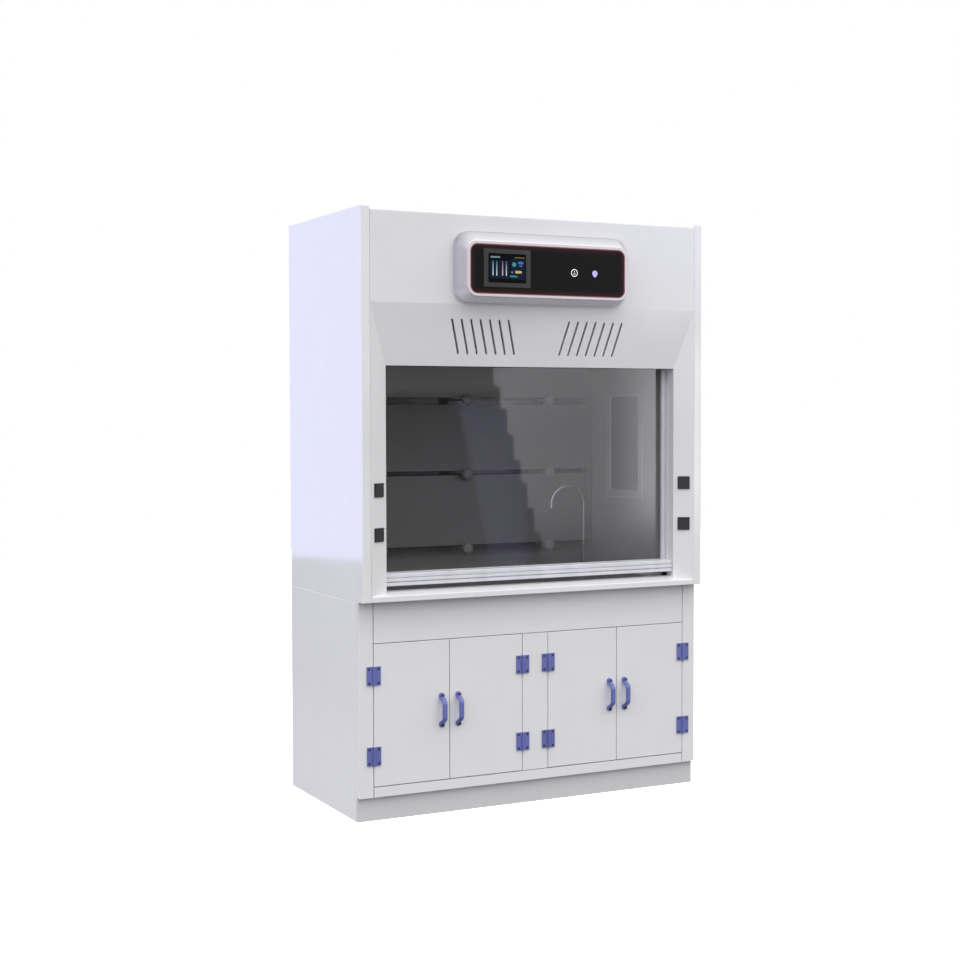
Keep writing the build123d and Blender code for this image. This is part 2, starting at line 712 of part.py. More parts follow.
with BuildPart() as ceiling:
    block((-LINER_HALF, LINER_FRONT, CEILING), (LINER_HALF, HOOD_REAR, CEILING + SHEET))
    block((-LINER_HALF, PLENUM_FRONT, CEILING), (LINER_HALF, PLENUM_FRONT + SHEET, ROOF_LOW))
    slot_low = (-PLENUM_SLOT_HALF, BAFFLE_Y + 2 * SHEET, CEILING)
    block(slot_low, (PLENUM_SLOT_HALF, HOOD_REAR - SHEET, CEILING + SHEET), Mode.SUBTRACT)
    block((-LAMP_HALF, LAMP_Y[0], CEILING), (LAMP_HALF, LAMP_Y[1], CEILING + SHEET), Mode.SUBTRACT)
save(ceiling, "chamber_ceiling")

with BuildPart() as lamp:
    lip_low = (-LAMP_HALF - LAMP_LIP, LAMP_Y[0] - LAMP_LIP, CEILING - LAMP_LIP_T)
    block(lip_low, (LAMP_HALF + LAMP_LIP, LAMP_Y[1] + LAMP_LIP, CEILING))
    block((-LAMP_HALF, LAMP_Y[0], CEILING), (LAMP_HALF, LAMP_Y[1], CEILING + LAMP_H))
save(lamp, "lamp_fitting")

with BuildPart() as baffles:
    for low, high in BAFFLE_BANDS:
        block((-BAFFLE_HALF, BAFFLE_Y, low), (BAFFLE_HALF, BAFFLE_Y + SHEET, high))
save(baffles, "baffle_panels")

# Nine clamping knobs, each on a stud that reaches the back through the gap at a panel's edge.
with BuildPart() as knobs:
    for x in KNOB_X:
        for z in KNOB_Z:
            rod((x, BAFFLE_Y, z), (0, 1, 0), STUD_R, HOOD_REAR - BAFFLE_Y)
            rod((x, BAFFLE_Y - KNOB_HUB, z), (0, 1, 0), KNOB_HUB_R, KNOB_HUB)
            rod((x, BAFFLE_Y - KNOB_HUB - KNOB_HEAD, z), (0, 1, 0), KNOB_R, KNOB_HEAD)
    fillet(knobs.edges().filter_by(GeomType.CIRCLE).group_by(Axis.Y)[0], KNOB_EDGE_R)
save(knobs, "baffle_knobs")

# ---------------------------------------------------------------- sash

GLASS_Y = (SASH_FRONT + SASH_BACK) / 2

with BuildPart() as sash_glass:
    block(
        (-SASH_SIGHT_HALF - GLASS_BITE, GLASS_Y - GLASS_T / 2, RAIL_TOP - GLASS_BITE),
        (SASH_SIGHT_HALF + GLASS_BITE, GLASS_Y + GLASS_T / 2, SASH_TOP - TOP_RAIL_H + GLASS_BITE),
    )
save(sash_glass, "sash_glass")

# Two stiles and the top rail, grooved for the glass.
with BuildPart() as sash_frame:
    for sign in (-1, 1):
        low, high = sorted((sign * SASH_SIGHT_HALF, sign * SASH_HALF))
        block((low, SASH_FRONT, RAIL_TOP), (high, SASH_BACK, SASH_TOP))
        low, high = sorted((sign * RAIL_HALF, sign * SASH_HALF))
        block((low, SASH_FRONT, SASH_LOW), (high, SASH_BACK, RAIL_TOP))
    block((-SASH_SIGHT_HALF, SASH_FRONT, SASH_TOP - TOP_RAIL_H), (SASH_SIGHT_HALF, SASH_BACK, SASH_TOP))
    add(sash_glass.part, mode=Mode.SUBTRACT)
save(sash_frame, "sash_frame")

with BuildPart() as sash_rail:
    block((-RAIL_HALF, RAIL_FRONT, SASH_LOW), (RAIL_HALF, SASH_BACK, SASH_STEP))
    block((-RAIL_HALF, RAIL_FRONT + RAIL_STEP, SASH_STEP), (RAIL_HALF, SASH_BACK, RAIL_TOP))
    long_edges = sash_rail.edges().filter_by(Axis.X)
    fillet(long_edges.group_by(Axis.Y)[0] + long_edges.group_by(Axis.Y)[1].sort_by(Axis.Z)[-1:], RAIL_EDGE_R)
    for z in RAIL_GROOVES:
        groove_low = (-RAIL_HALF, RAIL_FRONT, z)
        block(groove_low, (RAIL_HALF, RAIL_FRONT + RAIL_STEP + RAIL_GROOVE_D, z + RAIL_GROOVE_H), Mode.SUBTRACT)
    add(sash_glass.part, mode=Mode.SUBTRACT)
save(sash_rail, "sash_handle_rail")

with BuildPart() as tracks:
    for sign in (-1, 1):
        inner, web, outer = (
            sign * (SASH_HALF - TRACK_BITE),
            sign * (SASH_HALF + 2 * TRACK_CLEAR),
            sign * (SASH_HALF + 2 * TRACK_CLEAR + TRACK_WEB),
        )
        low, high = sorted((inner, outer))
        front, back = SASH_FRONT - TRACK_CLEAR, SASH_BACK + TRACK_CLEAR
        block((low, front - TRACK_FLANGE, WORKTOP), (high, back + TRACK_FLANGE, TRACK_TOP))
        low, high = sorted((inner, web))
        block((low, front, WORKTOP), (high, back, TRACK_TOP), Mode.SUBTRACT)
save(tracks, "sash_tracks")

# One shaft with a grooved sheave at each end keeps the two sides of the sash level.
with BuildPart() as pulleys:
    rod((-SHAFT_HALF, SHAFT_Y, SHAFT_Z), (1, 0, 0), SHAFT_R, 2 * SHAFT_HALF)
    for sign in (-1, 1):
        start = sign * CABLE_X - SHEAVE_W / 2
        rod((start, SHAFT_Y, SHAFT_Z), (1, 0, 0), SHEAVE_RIM_R, SHEAVE_W)
        with BuildSketch(Plane(origin=(sign * CABLE_X, SHAFT_Y, SHAFT_Z), x_dir=(1, 0, 0), z_dir=(0, 1, 0))):
            with Locations((0, SHEAVE_RIM_R)):
                Circle(SHEAVE_RIM_R - SHEAVE_R)
        revolve(axis=Axis((0, SHAFT_Y, SHAFT_Z), (1, 0, 0)), mode=Mode.SUBTRACT)
save(pulleys, "sash_pulleys")

with BuildPart() as weights:
    weight_y = SHAFT_Y + SHEAVE_R
    for sign in (-1, 1):
        block(
            (sign * CABLE_X - WEIGHT_W / 2, weight_y - WEIGHT_D / 2, WEIGHT_TOP - WEIGHT_LENGTH),
            (sign * CABLE_X + WEIGHT_W / 2, weight_y + WEIGHT_D / 2, WEIGHT_TOP),
        )
    chamfer(weights.edges().filter_by(Axis.Z), WEIGHT_CHAMFER)
save(weights, "sash_counterweights")

# ---------------------------------------------------------------- console


def rounded(y, z, width, height, radius):
    """A rounded rectangle on the plane facing the front at Y, centred at a height Z."""
    with BuildSketch(facing_front(y)) as outline:
        with Locations((0, z)):
            RectangleRounded(width, height, radius)
    return outline.sketch


FACE_Y = CONSOLE_TIP + FACE_RECESS
SHOULDER_Y = FRONT - CONSOLE_WALL_D
with BuildPart() as console_housing:
    extrude(rounded(FRONT, CONSOLE_Z, CONSOLE_W, CONSOLE_H, CONSOLE_R), amount=CONSOLE_WALL_D)
    shoulder = rounded(SHOULDER_Y, CONSOLE_Z, CONSOLE_W, CONSOLE_H, CONSOLE_R)
    loft([shoulder, rounded(CONSOLE_TIP, LIP_Z, LIP_W, LIP_H, LIP_R)])
    fillet(console_housing.edges().filter_by_position(Axis.Y, SHOULDER_Y - 0.1, SHOULDER_Y + 0.1), SHOULDER_R)
    fillet(console_housing.faces().sort_by(Axis.Y)[0].edges(), LIP_EDGE_R)
    inner_w, inner_h, inner_r = TRIM_W - 2 * CONSOLE_WALL, TRIM_H - 2 * CONSOLE_WALL, TRIM_R - CONSOLE_WALL
    cavity_w, cavity_h = CONSOLE_W - 2 * CONSOLE_WALL, CONSOLE_H - 2 * CONSOLE_WALL
    mouth = rounded(FRONT, CONSOLE_Z, cavity_w, cavity_h, CONSOLE_R - CONSOLE_WALL)
    deep_end = rounded(CONSOLE_TIP + 2 * CONSOLE_WALL, LIP_Z, inner_w, inner_h, inner_r)
    loft([mouth, deep_end], mode=Mode.SUBTRACT)
    throat = rounded(FRONT, LIP_Z, inner_w, inner_h, inner_r)
    extrude(throat, amount=CONSOLE_REACH, mode=Mode.SUBTRACT)
    seat = rounded(CONSOLE_TIP, LIP_Z, TRIM_W, TRIM_H, TRIM_R)
    extrude(seat, amount=-TRIM_DEPTH, mode=Mode.SUBTRACT)
save(console_housing, "console_housing")

FACE_W, FACE_H, FACE_R = TRIM_W - 2 * TRIM_BAND, TRIM_H - 2 * TRIM_BAND, TRIM_R - TRIM_BAND
with BuildPart() as console_trim:
    extrude(rounded(CONSOLE_TIP + TRIM_DEPTH, LIP_Z, TRIM_W, TRIM_H, TRIM_R), amount=TRIM_T)
    window = rounded(CONSOLE_TIP + TRIM_DEPTH, LIP_Z, FACE_W, FACE_H, FACE_R)
    extrude(window, amount=TRIM_DEPTH, mode=Mode.SUBTRACT)
save(console_trim, "console_trim")

with BuildPart() as console_face:
    extrude(rounded(FACE_Y + FACE_T, LIP_Z, FACE_W, FACE_H, FACE_R), amount=FACE_T)
    window_w, window_h = SCREEN_W - 2 * SCREEN_LIP, SCREEN_H - 2 * SCREEN_LIP
    with BuildSketch(facing_front(FACE_Y + FACE_T)):
        with Locations((SCREEN_X, SCREEN_Z)):
            Rectangle(window_w, window_h)
        for x, radius in BUTTONS.values():
            with Locations((x, BUTTON_Z)):
                Circle(radius + BUTTON_CLEAR)
    extrude(amount=FACE_T, mode=Mode.SUBTRACT)
save(console_face, "console_face")

# The screen's bezel laps over the face, and its display sits in a shallow recess.
with BuildPart() as screen:
    with BuildSketch(facing_front(FACE_Y)):
        with Locations((SCREEN_X, SCREEN_Z)):
            RectangleRounded(SCREEN_W, SCREEN_H, SCREEN_R)
    extrude(amount=SCREEN_PROUD)
    with BuildSketch(facing_front(FACE_Y)):
        with Locations((SCREEN_X, SCREEN_Z)):
            Rectangle(window_w, window_h)
    extrude(amount=-SCREEN_DEPTH)
    with BuildSketch(facing_front(FACE_Y - SCREEN_PROUD)):
        with Locations((SCREEN_X, SCREEN_Z)):
            Rectangle(GLASS_W, GLASS_H)
    extrude(amount=-SCREEN_PROUD / 2, mode=Mode.SUBTRACT)
save(screen, "console_screen")

for label, (x, radius) in BUTTONS.items():
    with BuildPart() as button:
        rod((x, CONSOLE_TIP + BUTTON_CAP, BUTTON_Z), (0, -1, 0), radius, BUTTON_CAP)
        fillet(button.edges().group_by(Axis.Y)[0], BUTTON_EDGE_R)
        rod((x, CONSOLE_TIP + BUTTON_CAP, BUTTON_Z), (0, 1, 0), BUTTON_STEM_R, BUTTON_STEM)
    save(button, label)

# ---------------------------------------------------------------- outlets

OUTLETS = [(sign, z) for sign in (-1, 1) for z in OUTLET_Z]


def slab(plane, x, y, low, high, width, height, mode=Mode.ADD):
    """A slab centred at local X and Y of a plane, between two distances from it."""
    with Locations(Plane(plane.from_local_coords((x, y, low)), plane.x_dir, plane.z_dir)):
        Box(width, height, high - low, align=(Align.CENTER, Align.CENTER, Align.MIN), mode=mode)


def barrel(plane, half, radius, mode=Mode.ADD):
    """A round bar on an outlet flap's axis."""
    start = plane.from_local_coords((-half, FLAP_AXIS_UP, FLAP_AXIS_OUT))
    rod(tuple(start), tuple(plane.x_dir), radius, 2 * half, mode)


with BuildPart() as outlet_bodies:
    for sign, z in OUTLETS:
        seat = outlet_plane(sign, z)
        slab(seat, 0, 0, 0, OUTLET_T, OUTLET_W, OUTLET_H)
        slab(seat, 0, 0, -OUTLET_BOX_D, 0, OUTLET_BOX_W, OUTLET_BOX_H)
        for end in (-1, 1):
            ear_x = end * (FLAP_BARREL_HALF + EAR_GAP + EAR_W / 2)
            slab(seat, ear_x, FLAP_AXIS_UP, OUTLET_T, FLAP_AXIS_OUT + EAR_H / 3, EAR_W, EAR_H)
        barrel(seat, FLAP_BARREL_HALF + EAR_W, FLAP_PIN_R + RUNNING_FIT, Mode.SUBTRACT)
save(outlet_bodies, "outlet_bodies")

for number, (sign, z) in enumerate(OUTLETS, start=1):
    seat = outlet_plane(sign, z)
    low, high = OUTLET_T + FLAP_GAP, OUTLET_T + FLAP_GAP + FLAP_T
    plate_h = FLAP_PLATE_TOP + OUTLET_H / 2 - 1
    with BuildPart() as flap:
        slab(seat, 0, FLAP_PLATE_TOP - plate_h / 2, low, high, FLAP_W, plate_h)
        fillet(flap.edges().filter_by(Axis(seat.origin, seat.z_dir)), FLAP_CORNER_R)
        web_h = FLAP_AXIS_UP - FLAP_PLATE_TOP + 1
        slab(seat, 0, FLAP_AXIS_UP - web_h / 2, low, high, 2 * FLAP_BARREL_HALF, web_h)
        barrel(seat, FLAP_BARREL_HALF, FLAP_BARREL_R)
        barrel(seat, FLAP_BARREL_HALF + EAR_W, FLAP_PIN_R)
    save(flap, f"outlet_flap_{number}")
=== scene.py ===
"""Looks of the fume hood: materials, small visible details, studio light and the camera.

Everything is in metres, in the CAD model's own frame: +Z up, the front faces -Y, +X to the right.
"""

import json
import math

import bmesh
import bpy
from mathutils import Matrix, Vector


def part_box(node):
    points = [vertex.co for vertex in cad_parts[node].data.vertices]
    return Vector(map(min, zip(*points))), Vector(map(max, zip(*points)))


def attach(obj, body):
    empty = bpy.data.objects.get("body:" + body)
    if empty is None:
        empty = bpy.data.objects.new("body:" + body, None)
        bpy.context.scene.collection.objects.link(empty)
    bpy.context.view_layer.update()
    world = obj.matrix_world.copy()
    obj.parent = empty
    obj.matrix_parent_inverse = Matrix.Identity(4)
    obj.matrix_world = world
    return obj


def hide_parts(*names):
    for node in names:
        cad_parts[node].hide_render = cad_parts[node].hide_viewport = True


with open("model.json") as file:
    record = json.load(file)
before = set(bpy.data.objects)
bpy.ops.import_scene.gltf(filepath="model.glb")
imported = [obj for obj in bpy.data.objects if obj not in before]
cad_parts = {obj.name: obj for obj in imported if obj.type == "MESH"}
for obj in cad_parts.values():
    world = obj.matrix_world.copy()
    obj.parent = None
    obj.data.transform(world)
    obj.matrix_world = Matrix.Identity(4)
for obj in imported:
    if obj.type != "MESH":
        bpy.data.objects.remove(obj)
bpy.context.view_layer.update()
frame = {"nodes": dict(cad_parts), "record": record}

# The camera: where it stands, how it is turned in degrees, and its lens and sensor in millimetres.
CAMERA_PLACE = (-3.1268, -6.0514, 1.5647)
CAMERA_YAW = 26.639
CAMERA_PITCH = -2.302
CAMERA_ROLL = -0.147
CAMERA_LENS = 61.29
CAMERA_SENSOR = 36.0


def camera():
    """Where the object is seen from, level with its glass and to its left."""
    data = bpy.data.cameras.new("camera")
    data.lens = CAMERA_LENS
    data.sensor_width = CAMERA_SENSOR
    data.clip_end = 100.0
    obj = bpy.data.objects.new("camera", data)
    turn = (
        Matrix.Rotation(math.radians(-CAMERA_YAW), 4, "Z")
        @ Matrix.Rotation(math.radians(90 + CAMERA_PITCH), 4, "X")
        @ Matrix.Rotation(math.radians(CAMERA_ROLL), 4, "Z")
    )
    obj.matrix_world = Matrix.Translation(CAMERA_PLACE) @ turn
    bpy.context.scene.collection.objects.link(obj)
    bpy.context.scene.camera = obj


camera()


# ---------------------------------------------------------------- node helpers

# The roughness of every noise, and half the width over which a drawn edge fades.
NOISE_ROUGHNESS = 0.55
SOFT_EDGE = 0.0004


class Nodes:
    """A node tree, with short calls for the nodes that are used again and again."""

    def __init__(self, tree):
        self.tree = tree

    def node(self, kind, **settings):
        """A new node, with its own settings."""
        made = self.tree.nodes.new(kind)
        for key, value in settings.items():
            setattr(made, key, value)
        return made

    def link(self, source, target):
        self.tree.links.new(source, target)

    def split(self, vector):
        """A vector's X, Y and Z."""
        parts = self.node("ShaderNodeSeparateXYZ")
        self.link(vector, parts.inputs["Vector"])
        return parts.outputs["X"], parts.outputs["Y"], parts.outputs["Z"]

    def ranged(self, value, low, high, start=0.0, end=1.0):
        """A value mapped from start..end to low..high."""
        rng = self.node("ShaderNodeMapRange")
        for key, number in zip(("From Min", "From Max", "To Min", "To Max"), (start, end, low, high)):
            rng.inputs[key].default_value = number
        self.link(value, rng.inputs["Value"])
        return rng.outputs["Result"]

    def math(self, operation, *values):
        """A sum on values that are sockets or plain numbers."""
        node = self.node("ShaderNodeMath", operation=operation)
        for socket, value in zip(node.inputs, values):
            if isinstance(value, (int, float)):
                socket.default_value = value
            else:
                self.link(value, socket)
        return node.outputs["Value"]

    def ramp(self, value, stops):
        """A colour ramp through (position, colour) stops."""
        ramp = self.node("ShaderNodeValToRGB")
        elements = ramp.color_ramp.elements
        while len(elements) < len(stops):
            elements.new(0.5)
        for element, (position, colour) in zip(elements, stops):
            element.position = position
            element.color = (*colour, 1.0)
        self.link(value, ramp.inputs["Fac"])
        return ramp.outputs["Color"]

    def mix(self, factor, a, b, blend="MIX"):
        """Two colours mixed; each is a socket or a plain colour."""
        mixer = self.node("ShaderNodeMix", data_type="RGBA", blend_type=blend)
        self.link(factor, mixer.inputs["Factor"])
        for socket, value in ((mixer.inputs["A"], a), (mixer.inputs["B"], b)):
            if isinstance(value, tuple):
                socket.default_value = (*value, 1.0)
            else:
                self.link(value, socket)
        return mixer.outputs["Result"]

    def away(self, value, centre):
        """How far a value is from a centre."""
        return self.math("ABSOLUTE", self.math("SUBTRACT", value, centre))


class Shader(Nodes):
    """A material's node tree, read in the object's own coordinates."""

    def __init__(self, name):
        self.mat = bpy.data.materials.new(name)
        self.mat.use_nodes = True
        super().__init__(self.mat.node_tree)
        self.bsdf = self.tree.nodes["Principled BSDF"]
        self.place = self.node("ShaderNodeTexCoord").outputs["Object"]

    def put(self, **values):
        """Sets the shader's own sockets, named with underscores for spaces."""
        for key, value in values.items():
            self.bsdf.inputs[key.replace("_", " ")].default_value = value

    def stretched(self, scale):
        """The object's coordinates, scaled by a number for each axis."""
        mapping = self.node("ShaderNodeMapping")
        mapping.inputs["Scale"].default_value = scale
        self.link(self.place, mapping.inputs["Vector"])
        return mapping.outputs["Vector"]

    def noise(self, scale, detail, vector=None):
        tex = self.node("ShaderNodeTexNoise")
        tex.inputs["Scale"].default_value = scale
        tex.inputs["Detail"].default_value = detail
        tex.inputs["Roughness"].default_value = NOISE_ROUGHNESS
        self.link(vector or self.place, tex.inputs["Vector"])
        return tex.outputs["Fac"]

    def axes(self):
        """The object's X, Y and Z as separate values."""
        return self.split(self.place)

    def disc(self, x, z, centre, radius):
        """1 inside a circle on the front plane, 0 outside."""
        across, up = self.away(x, centre[0]), self.away(z, centre[1])
        squares = self.math("ADD", self.math("POWER", across, 2.0), self.math("POWER", up, 2.0))
        reach = self.math("SQRT", squares)
        return self.ranged(reach, 1.0, 0.0, radius - SOFT_EDGE, radius + SOFT_EDGE)

    def patch(self, x, z, centre, half):
        """1 inside a rectangle on the front plane, 0 outside."""
        across = self.ranged(self.away(x, centre[0]), 1.0, 0.0, half[0] - SOFT_EDGE, half[0] + SOFT_EDGE)
        up = self.ranged(self.away(z, centre[1]), 1.0, 0.0, half[1] - SOFT_EDGE, half[1] + SOFT_EDGE)
        return self.math("MULTIPLY", across, up)

    def bumped(self, *layers):
        """Stacks bump layers, each (height socket, depth in metres)."""
        normal = None
        for height, depth in layers:
            bump = self.node("ShaderNodeBump")
            bump.inputs["Distance"].default_value = depth
            self.link(height, bump.inputs["Height"])
            if normal is not None:
                self.link(normal, bump.inputs["Normal"])
            normal = bump.outputs["Normal"]
        self.link(normal, self.bsdf.inputs["Normal"])

    def colour(self, socket):
        self.link(socket, self.bsdf.inputs["Base Color"])

    def roughness(self, socket):
        self.link(socket, self.bsdf.inputs["Roughness"])


def shade(colour, factor):
    """A colour made darker or lighter."""
    return tuple(min(1.0, c * factor) for c in colour)


# ---------------------------------------------------------------- materials

WHITE = (0.80, 0.80, 0.80)
CABINET_WHITE = (0.80, 0.80, 0.797)
SHELL = (0.49, 0.485, 0.525)
NONE = (0.0, 0.0, 0.0)

# Plastic sheet: the noise scales of its waviness, clouds and grain, and how far the clouds tint it.
WAVE_SCALE, CLOUD_SCALE, GRAIN_SCALE = 2.2, 9.0, 420.0
CLOUDING = 0.014
WAVE_DEPTH = 0.0002
SHEET_GRAIN = 0.000004
PLASTIC_IOR = 1.49

# Moulded plastic: the noise scale of its spark-eroded skin, and of the finer one on the console's black face.
SPARK_SCALE = 900.0
ACRYLIC_SCALE = 1200.0

# The screws along the back panels, and the seam between them.
SCREW_PITCH = 0.21
SCREW_R = 0.0055
SCREW_TONE = (0.40, 0.40, 0.41)
SCREW_DEPTH = 0.0012
SEAM_TONE = (0.16, 0.16, 0.16)
SEAM_HALF = (0.001, 0.0016)

# Painted shade behind the baffles: the back is nearly black there, down to a lighter grey foot between two
# heights over the worktop.
SHADE_BEHIND_BAFFLES = (0.02, 0.02, 0.02)
SHADE_AT_FOOT = (0.42, 0.42, 0.42)
BACK_FOOT_UP = (0.063, 0.118)

# The glass's opacity, and where the display's bars change colour, up from the middle of the screen.
GLASS_ALPHA = 0.27
DISPLAY_FADE = (-0.028, 0.022)

# How far the painted red glow of the trim reaches in from the border of the console's face.
TRIM_GLOW_FADE = (0.020, 0.004)


def clouded(s, colour):
    """A sheet's clouds, and its colour as they tint it."""
    clouds = s.noise(CLOUD_SCALE, 4.0)
    tones = [(0.30, shade(colour, 1 - CLOUDING)), (0.70, shade(colour, 1 + CLOUDING / 2))]
    return clouds, s.ramp(clouds, tones)


def sheet(name, colour, rough=0.13, grain=SHEET_GRAIN, painted_shade=None):
    """Extruded plastic sheet: faint clouding, a slow waviness and a fine satin grain.

    Where given, painted shade darkens its colour between two heights, to a factor at the upper one.
    """
    s = Shader(name)
    slow = s.noise(WAVE_SCALE, 2.0)
    clouds, tint = clouded(s, colour)
    speck = s.noise(GRAIN_SCALE, 2.0)
    if painted_shade:
        low, high, factor = painted_shade
        tint = s.mix(s.ranged(s.axes()[2], 0.0, 1.0, low, high), tint, shade(colour, factor))
    s.colour(s.mix(s.ranged(speck, 0.0, 0.08), tint, shade(colour, 0.9)))
    s.roughness(s.ranged(clouds, rough - 0.04, rough + 0.05))
    s.bumped((slow, WAVE_DEPTH), (speck, grain))
    s.put(IOR=PLASTIC_IOR)
    return s.mat


def screw_rows(s, heights, side):
    """1 on the screw heads along horizontal rows and the two upright edges of a back panel, 0 elsewhere."""
    x, _, z = s.axes()
    along_x = s.math("WRAP", x, SCREW_PITCH / 2, -SCREW_PITCH / 2)
    along_z = s.math("WRAP", z, SCREW_PITCH / 2, -SCREW_PITCH / 2)
    heads = s.disc(s.math("ABSOLUTE", x), along_z, (side, 0.0), SCREW_R)
    for height in heights:
        heads = s.math("MAXIMUM", heads, s.disc(along_x, z, (0.0, height), SCREW_R))
    return heads


def screw_lines(node, side_in, foot_in, top_in):
    """The heights of a back panel's screw rows, and how far out its upright rows stand."""
    low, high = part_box(node)
    return (low[2] + foot_in, high[2] - top_in), high[0] - side_in


def screwed_back(name, colour, screws, seam):
    """A back sheet held by rows of screws, with a dark seam along one edge."""
    s = Shader(name)
    clouds, tint = clouded(s, colour)
    heads = screw_rows(s, *screws)
    line = s.ranged(s.away(s.axes()[2], seam), 1.0, 0.0, *SEAM_HALF)
    s.colour(s.mix(line, s.mix(heads, tint, SCREW_TONE), SEAM_TONE))
    s.roughness(s.ranged(clouds, 0.10, 0.19))
    s.bumped((s.noise(WAVE_SCALE, 2.0), WAVE_DEPTH), (heads, SCREW_DEPTH))
    s.put(IOR=PLASTIC_IOR)
    return s.mat


def two_faced(name, light, dark, axis, limit, mirrored=False, foot=None, screws=None):
    """Plastic sheet that is light on one side of a plane and dark on the other: painted shade, where light
    hardly reaches.

    A foot is two heights: below the second, the painted shade fades to a lighter grey that is full below the
    first.
    A mirrored sheet has such a plane on each side of the middle.
    """
    s = Shader(name)
    across = s.axes()[axis]
    if foot:
        dark = s.mix(s.ranged(s.axes()[2], 0.0, 1.0, *foot), SHADE_AT_FOOT, dark)
    edge = (limit - 0.0005, limit + 0.0005)
    inner = s.ranged(s.away(across, 0.0), 0.0, 1.0, *edge) if mirrored else s.ranged(across, 1.0, 0.0, *edge)
    clouds, tint = clouded(s, light)
    if screws:
        tint = s.mix(screw_rows(s, *screws), tint, SCREW_TONE)
    s.colour(s.mix(inner, tint, dark))
    s.roughness(s.ranged(clouds, 0.14, 0.22))
    s.bumped((s.noise(WAVE_SCALE, 2.0), WAVE_DEPTH), (s.noise(GRAIN_SCALE, 2.0), SHEET_GRAIN))
    s.put(IOR=PLASTIC_IOR)
    return s.mat


def moulded(name, colour, rough=0.3, coat=0.0, gloss=0.5):
    """Injection-moulded plastic with a fine spark-eroded texture and faint flow marks."""
    s = Shader(name)
    flow = s.noise(14.0, 3.0, s.stretched((1.0, 1.0, 0.35)))
    fine = s.noise(SPARK_SCALE, 2.0)
    s.colour(s.ramp(flow, [(0.35, shade(colour, 0.93)), (0.65, shade(colour, 1.06))]))
    s.roughness(s.ranged(fine, rough - 0.05, rough + 0.06))
    s.bumped((flow, 0.00008), (fine, 0.00001))
    s.put(Coat_Weight=coat, Coat_Roughness=0.08, Specular_IOR_Level=gloss)
    return s.mat


def metal(name, colour, rough, depth=0.00002):
    """Metal with fine lines left by its last tool, and slightly uneven polish."""
    s = Shader(name)
    lines = s.noise(60.0, 2.0, s.stretched((1.0, 1.0, 40.0)))
    patch = s.noise(12.0, 3.0)
    s.colour(s.ramp(patch, [(0.3, shade(colour, 0.9)), (0.7, colour)]))
    s.roughness(s.ranged(lines, rough * 0.7, rough * 1.3))
    s.bumped((lines, depth))
    s.put(Metallic=1.0)
    return s.mat


def painted_iron(name, colour):
    """Cast iron under thick paint: a lumpy skin."""
    s = Shader(name)
    lumps = s.noise(160.0, 4.0)
    s.colour(s.ramp(lumps, [(0.3, shade(colour, 0.8)), (0.7, shade(colour, 1.2))]))
    s.roughness(s.ranged(lumps, 0.45, 0.6))
    s.bumped((lumps, 0.0004))
    return s.mat


def safety_glass(name):
    """Toughened glass with a neutral tint, faint roller waves and a little dust."""
    s = Shader(name)
    waves = s.noise(3.0, 1.0, s.stretched((0.4, 1.0, 1.6)))
    dust = s.noise(700.0, 3.0)
    s.colour(s.ramp(dust, [(0.55, (0.012, 0.013, 0.013)), (0.9, (0.03, 0.031, 0.03))]))
    s.roughness(s.ranged(dust, 0.0, 0.008))
    s.bumped((waves, 0.00006))
    s.link(s.ranged(dust, GLASS_ALPHA, GLASS_ALPHA + 0.02), s.bsdf.inputs["Alpha"])
    s.put(IOR=1.5, Specular_IOR_Level=0.7)
    return s.mat


def opal(name, colour):
    """An opal diffuser with prismatic ribs."""
    s = Shader(name)
    ribs = s.node("ShaderNodeTexWave", wave_type="BANDS", bands_direction="X")
    ribs.inputs["Scale"].default_value = 60.0
    s.link(s.place, ribs.inputs["Vector"])
    s.colour(s.ramp(ribs.outputs["Fac"], [(0.2, shade(colour, 0.93)), (0.8, colour)]))
    s.roughness(s.ranged(ribs.outputs["Fac"], 0.3, 0.4))
    s.bumped((ribs.outputs["Fac"], 0.0004))
    return s.mat


def console_shell(name):
    """Glossy lavender-white moulding, pink at its lip, with painted light and shade by facing: paler
    underneath, darker on top, and painted shade on top near the panel.
    """
    s = Shader(name)
    _, y, _ = s.axes()
    flow = s.noise(9.0, 3.0)
    fine = s.noise(SPARK_SCALE, 2.0)
    # Painted light by facing: the underside is paler and the top darker, as the light falls.
    turned = s.ranged(s.split(s.node("ShaderNodeNewGeometry").outputs["Normal"])[2], 0.0, 1.0, -1.0, 1.0)
    lit_underside = [(0.0, (0.95, 0.94, 1.0)), (0.25, (0.86, 0.85, 0.92))]
    base = s.ramp(turned, [*lit_underside, (0.46, SHELL), (0.9, shade(SHELL, 0.9))])
    base = s.mix(s.ranged(flow, 0.0, 0.12), base, (0.60, 0.59, 0.64))
    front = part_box("console_housing")[0][1]
    # Painted shade on the top, towards the panel that it stands out from.
    near_panel = s.ranged(y, 0.0, 1.0, front + 0.004, front + 0.045)
    panel_shade = s.math("MULTIPLY", near_panel, s.ranged(turned, 0.0, 1.0, 0.52, 0.7))
    base = s.mix(panel_shade, base, shade(SHELL, 0.62))
    lip = s.ranged(y, 1.0, 0.0, front + 0.001, front + 0.006)
    s.colour(s.mix(lip, base, (0.66, 0.59, 0.61)))
    s.roughness(s.ranged(fine, 0.2, 0.28))
    s.bumped((flow, 0.00005), (fine, 0.000006))
    s.put(Coat_Weight=0.3, Coat_Roughness=0.08)
    return s.mat


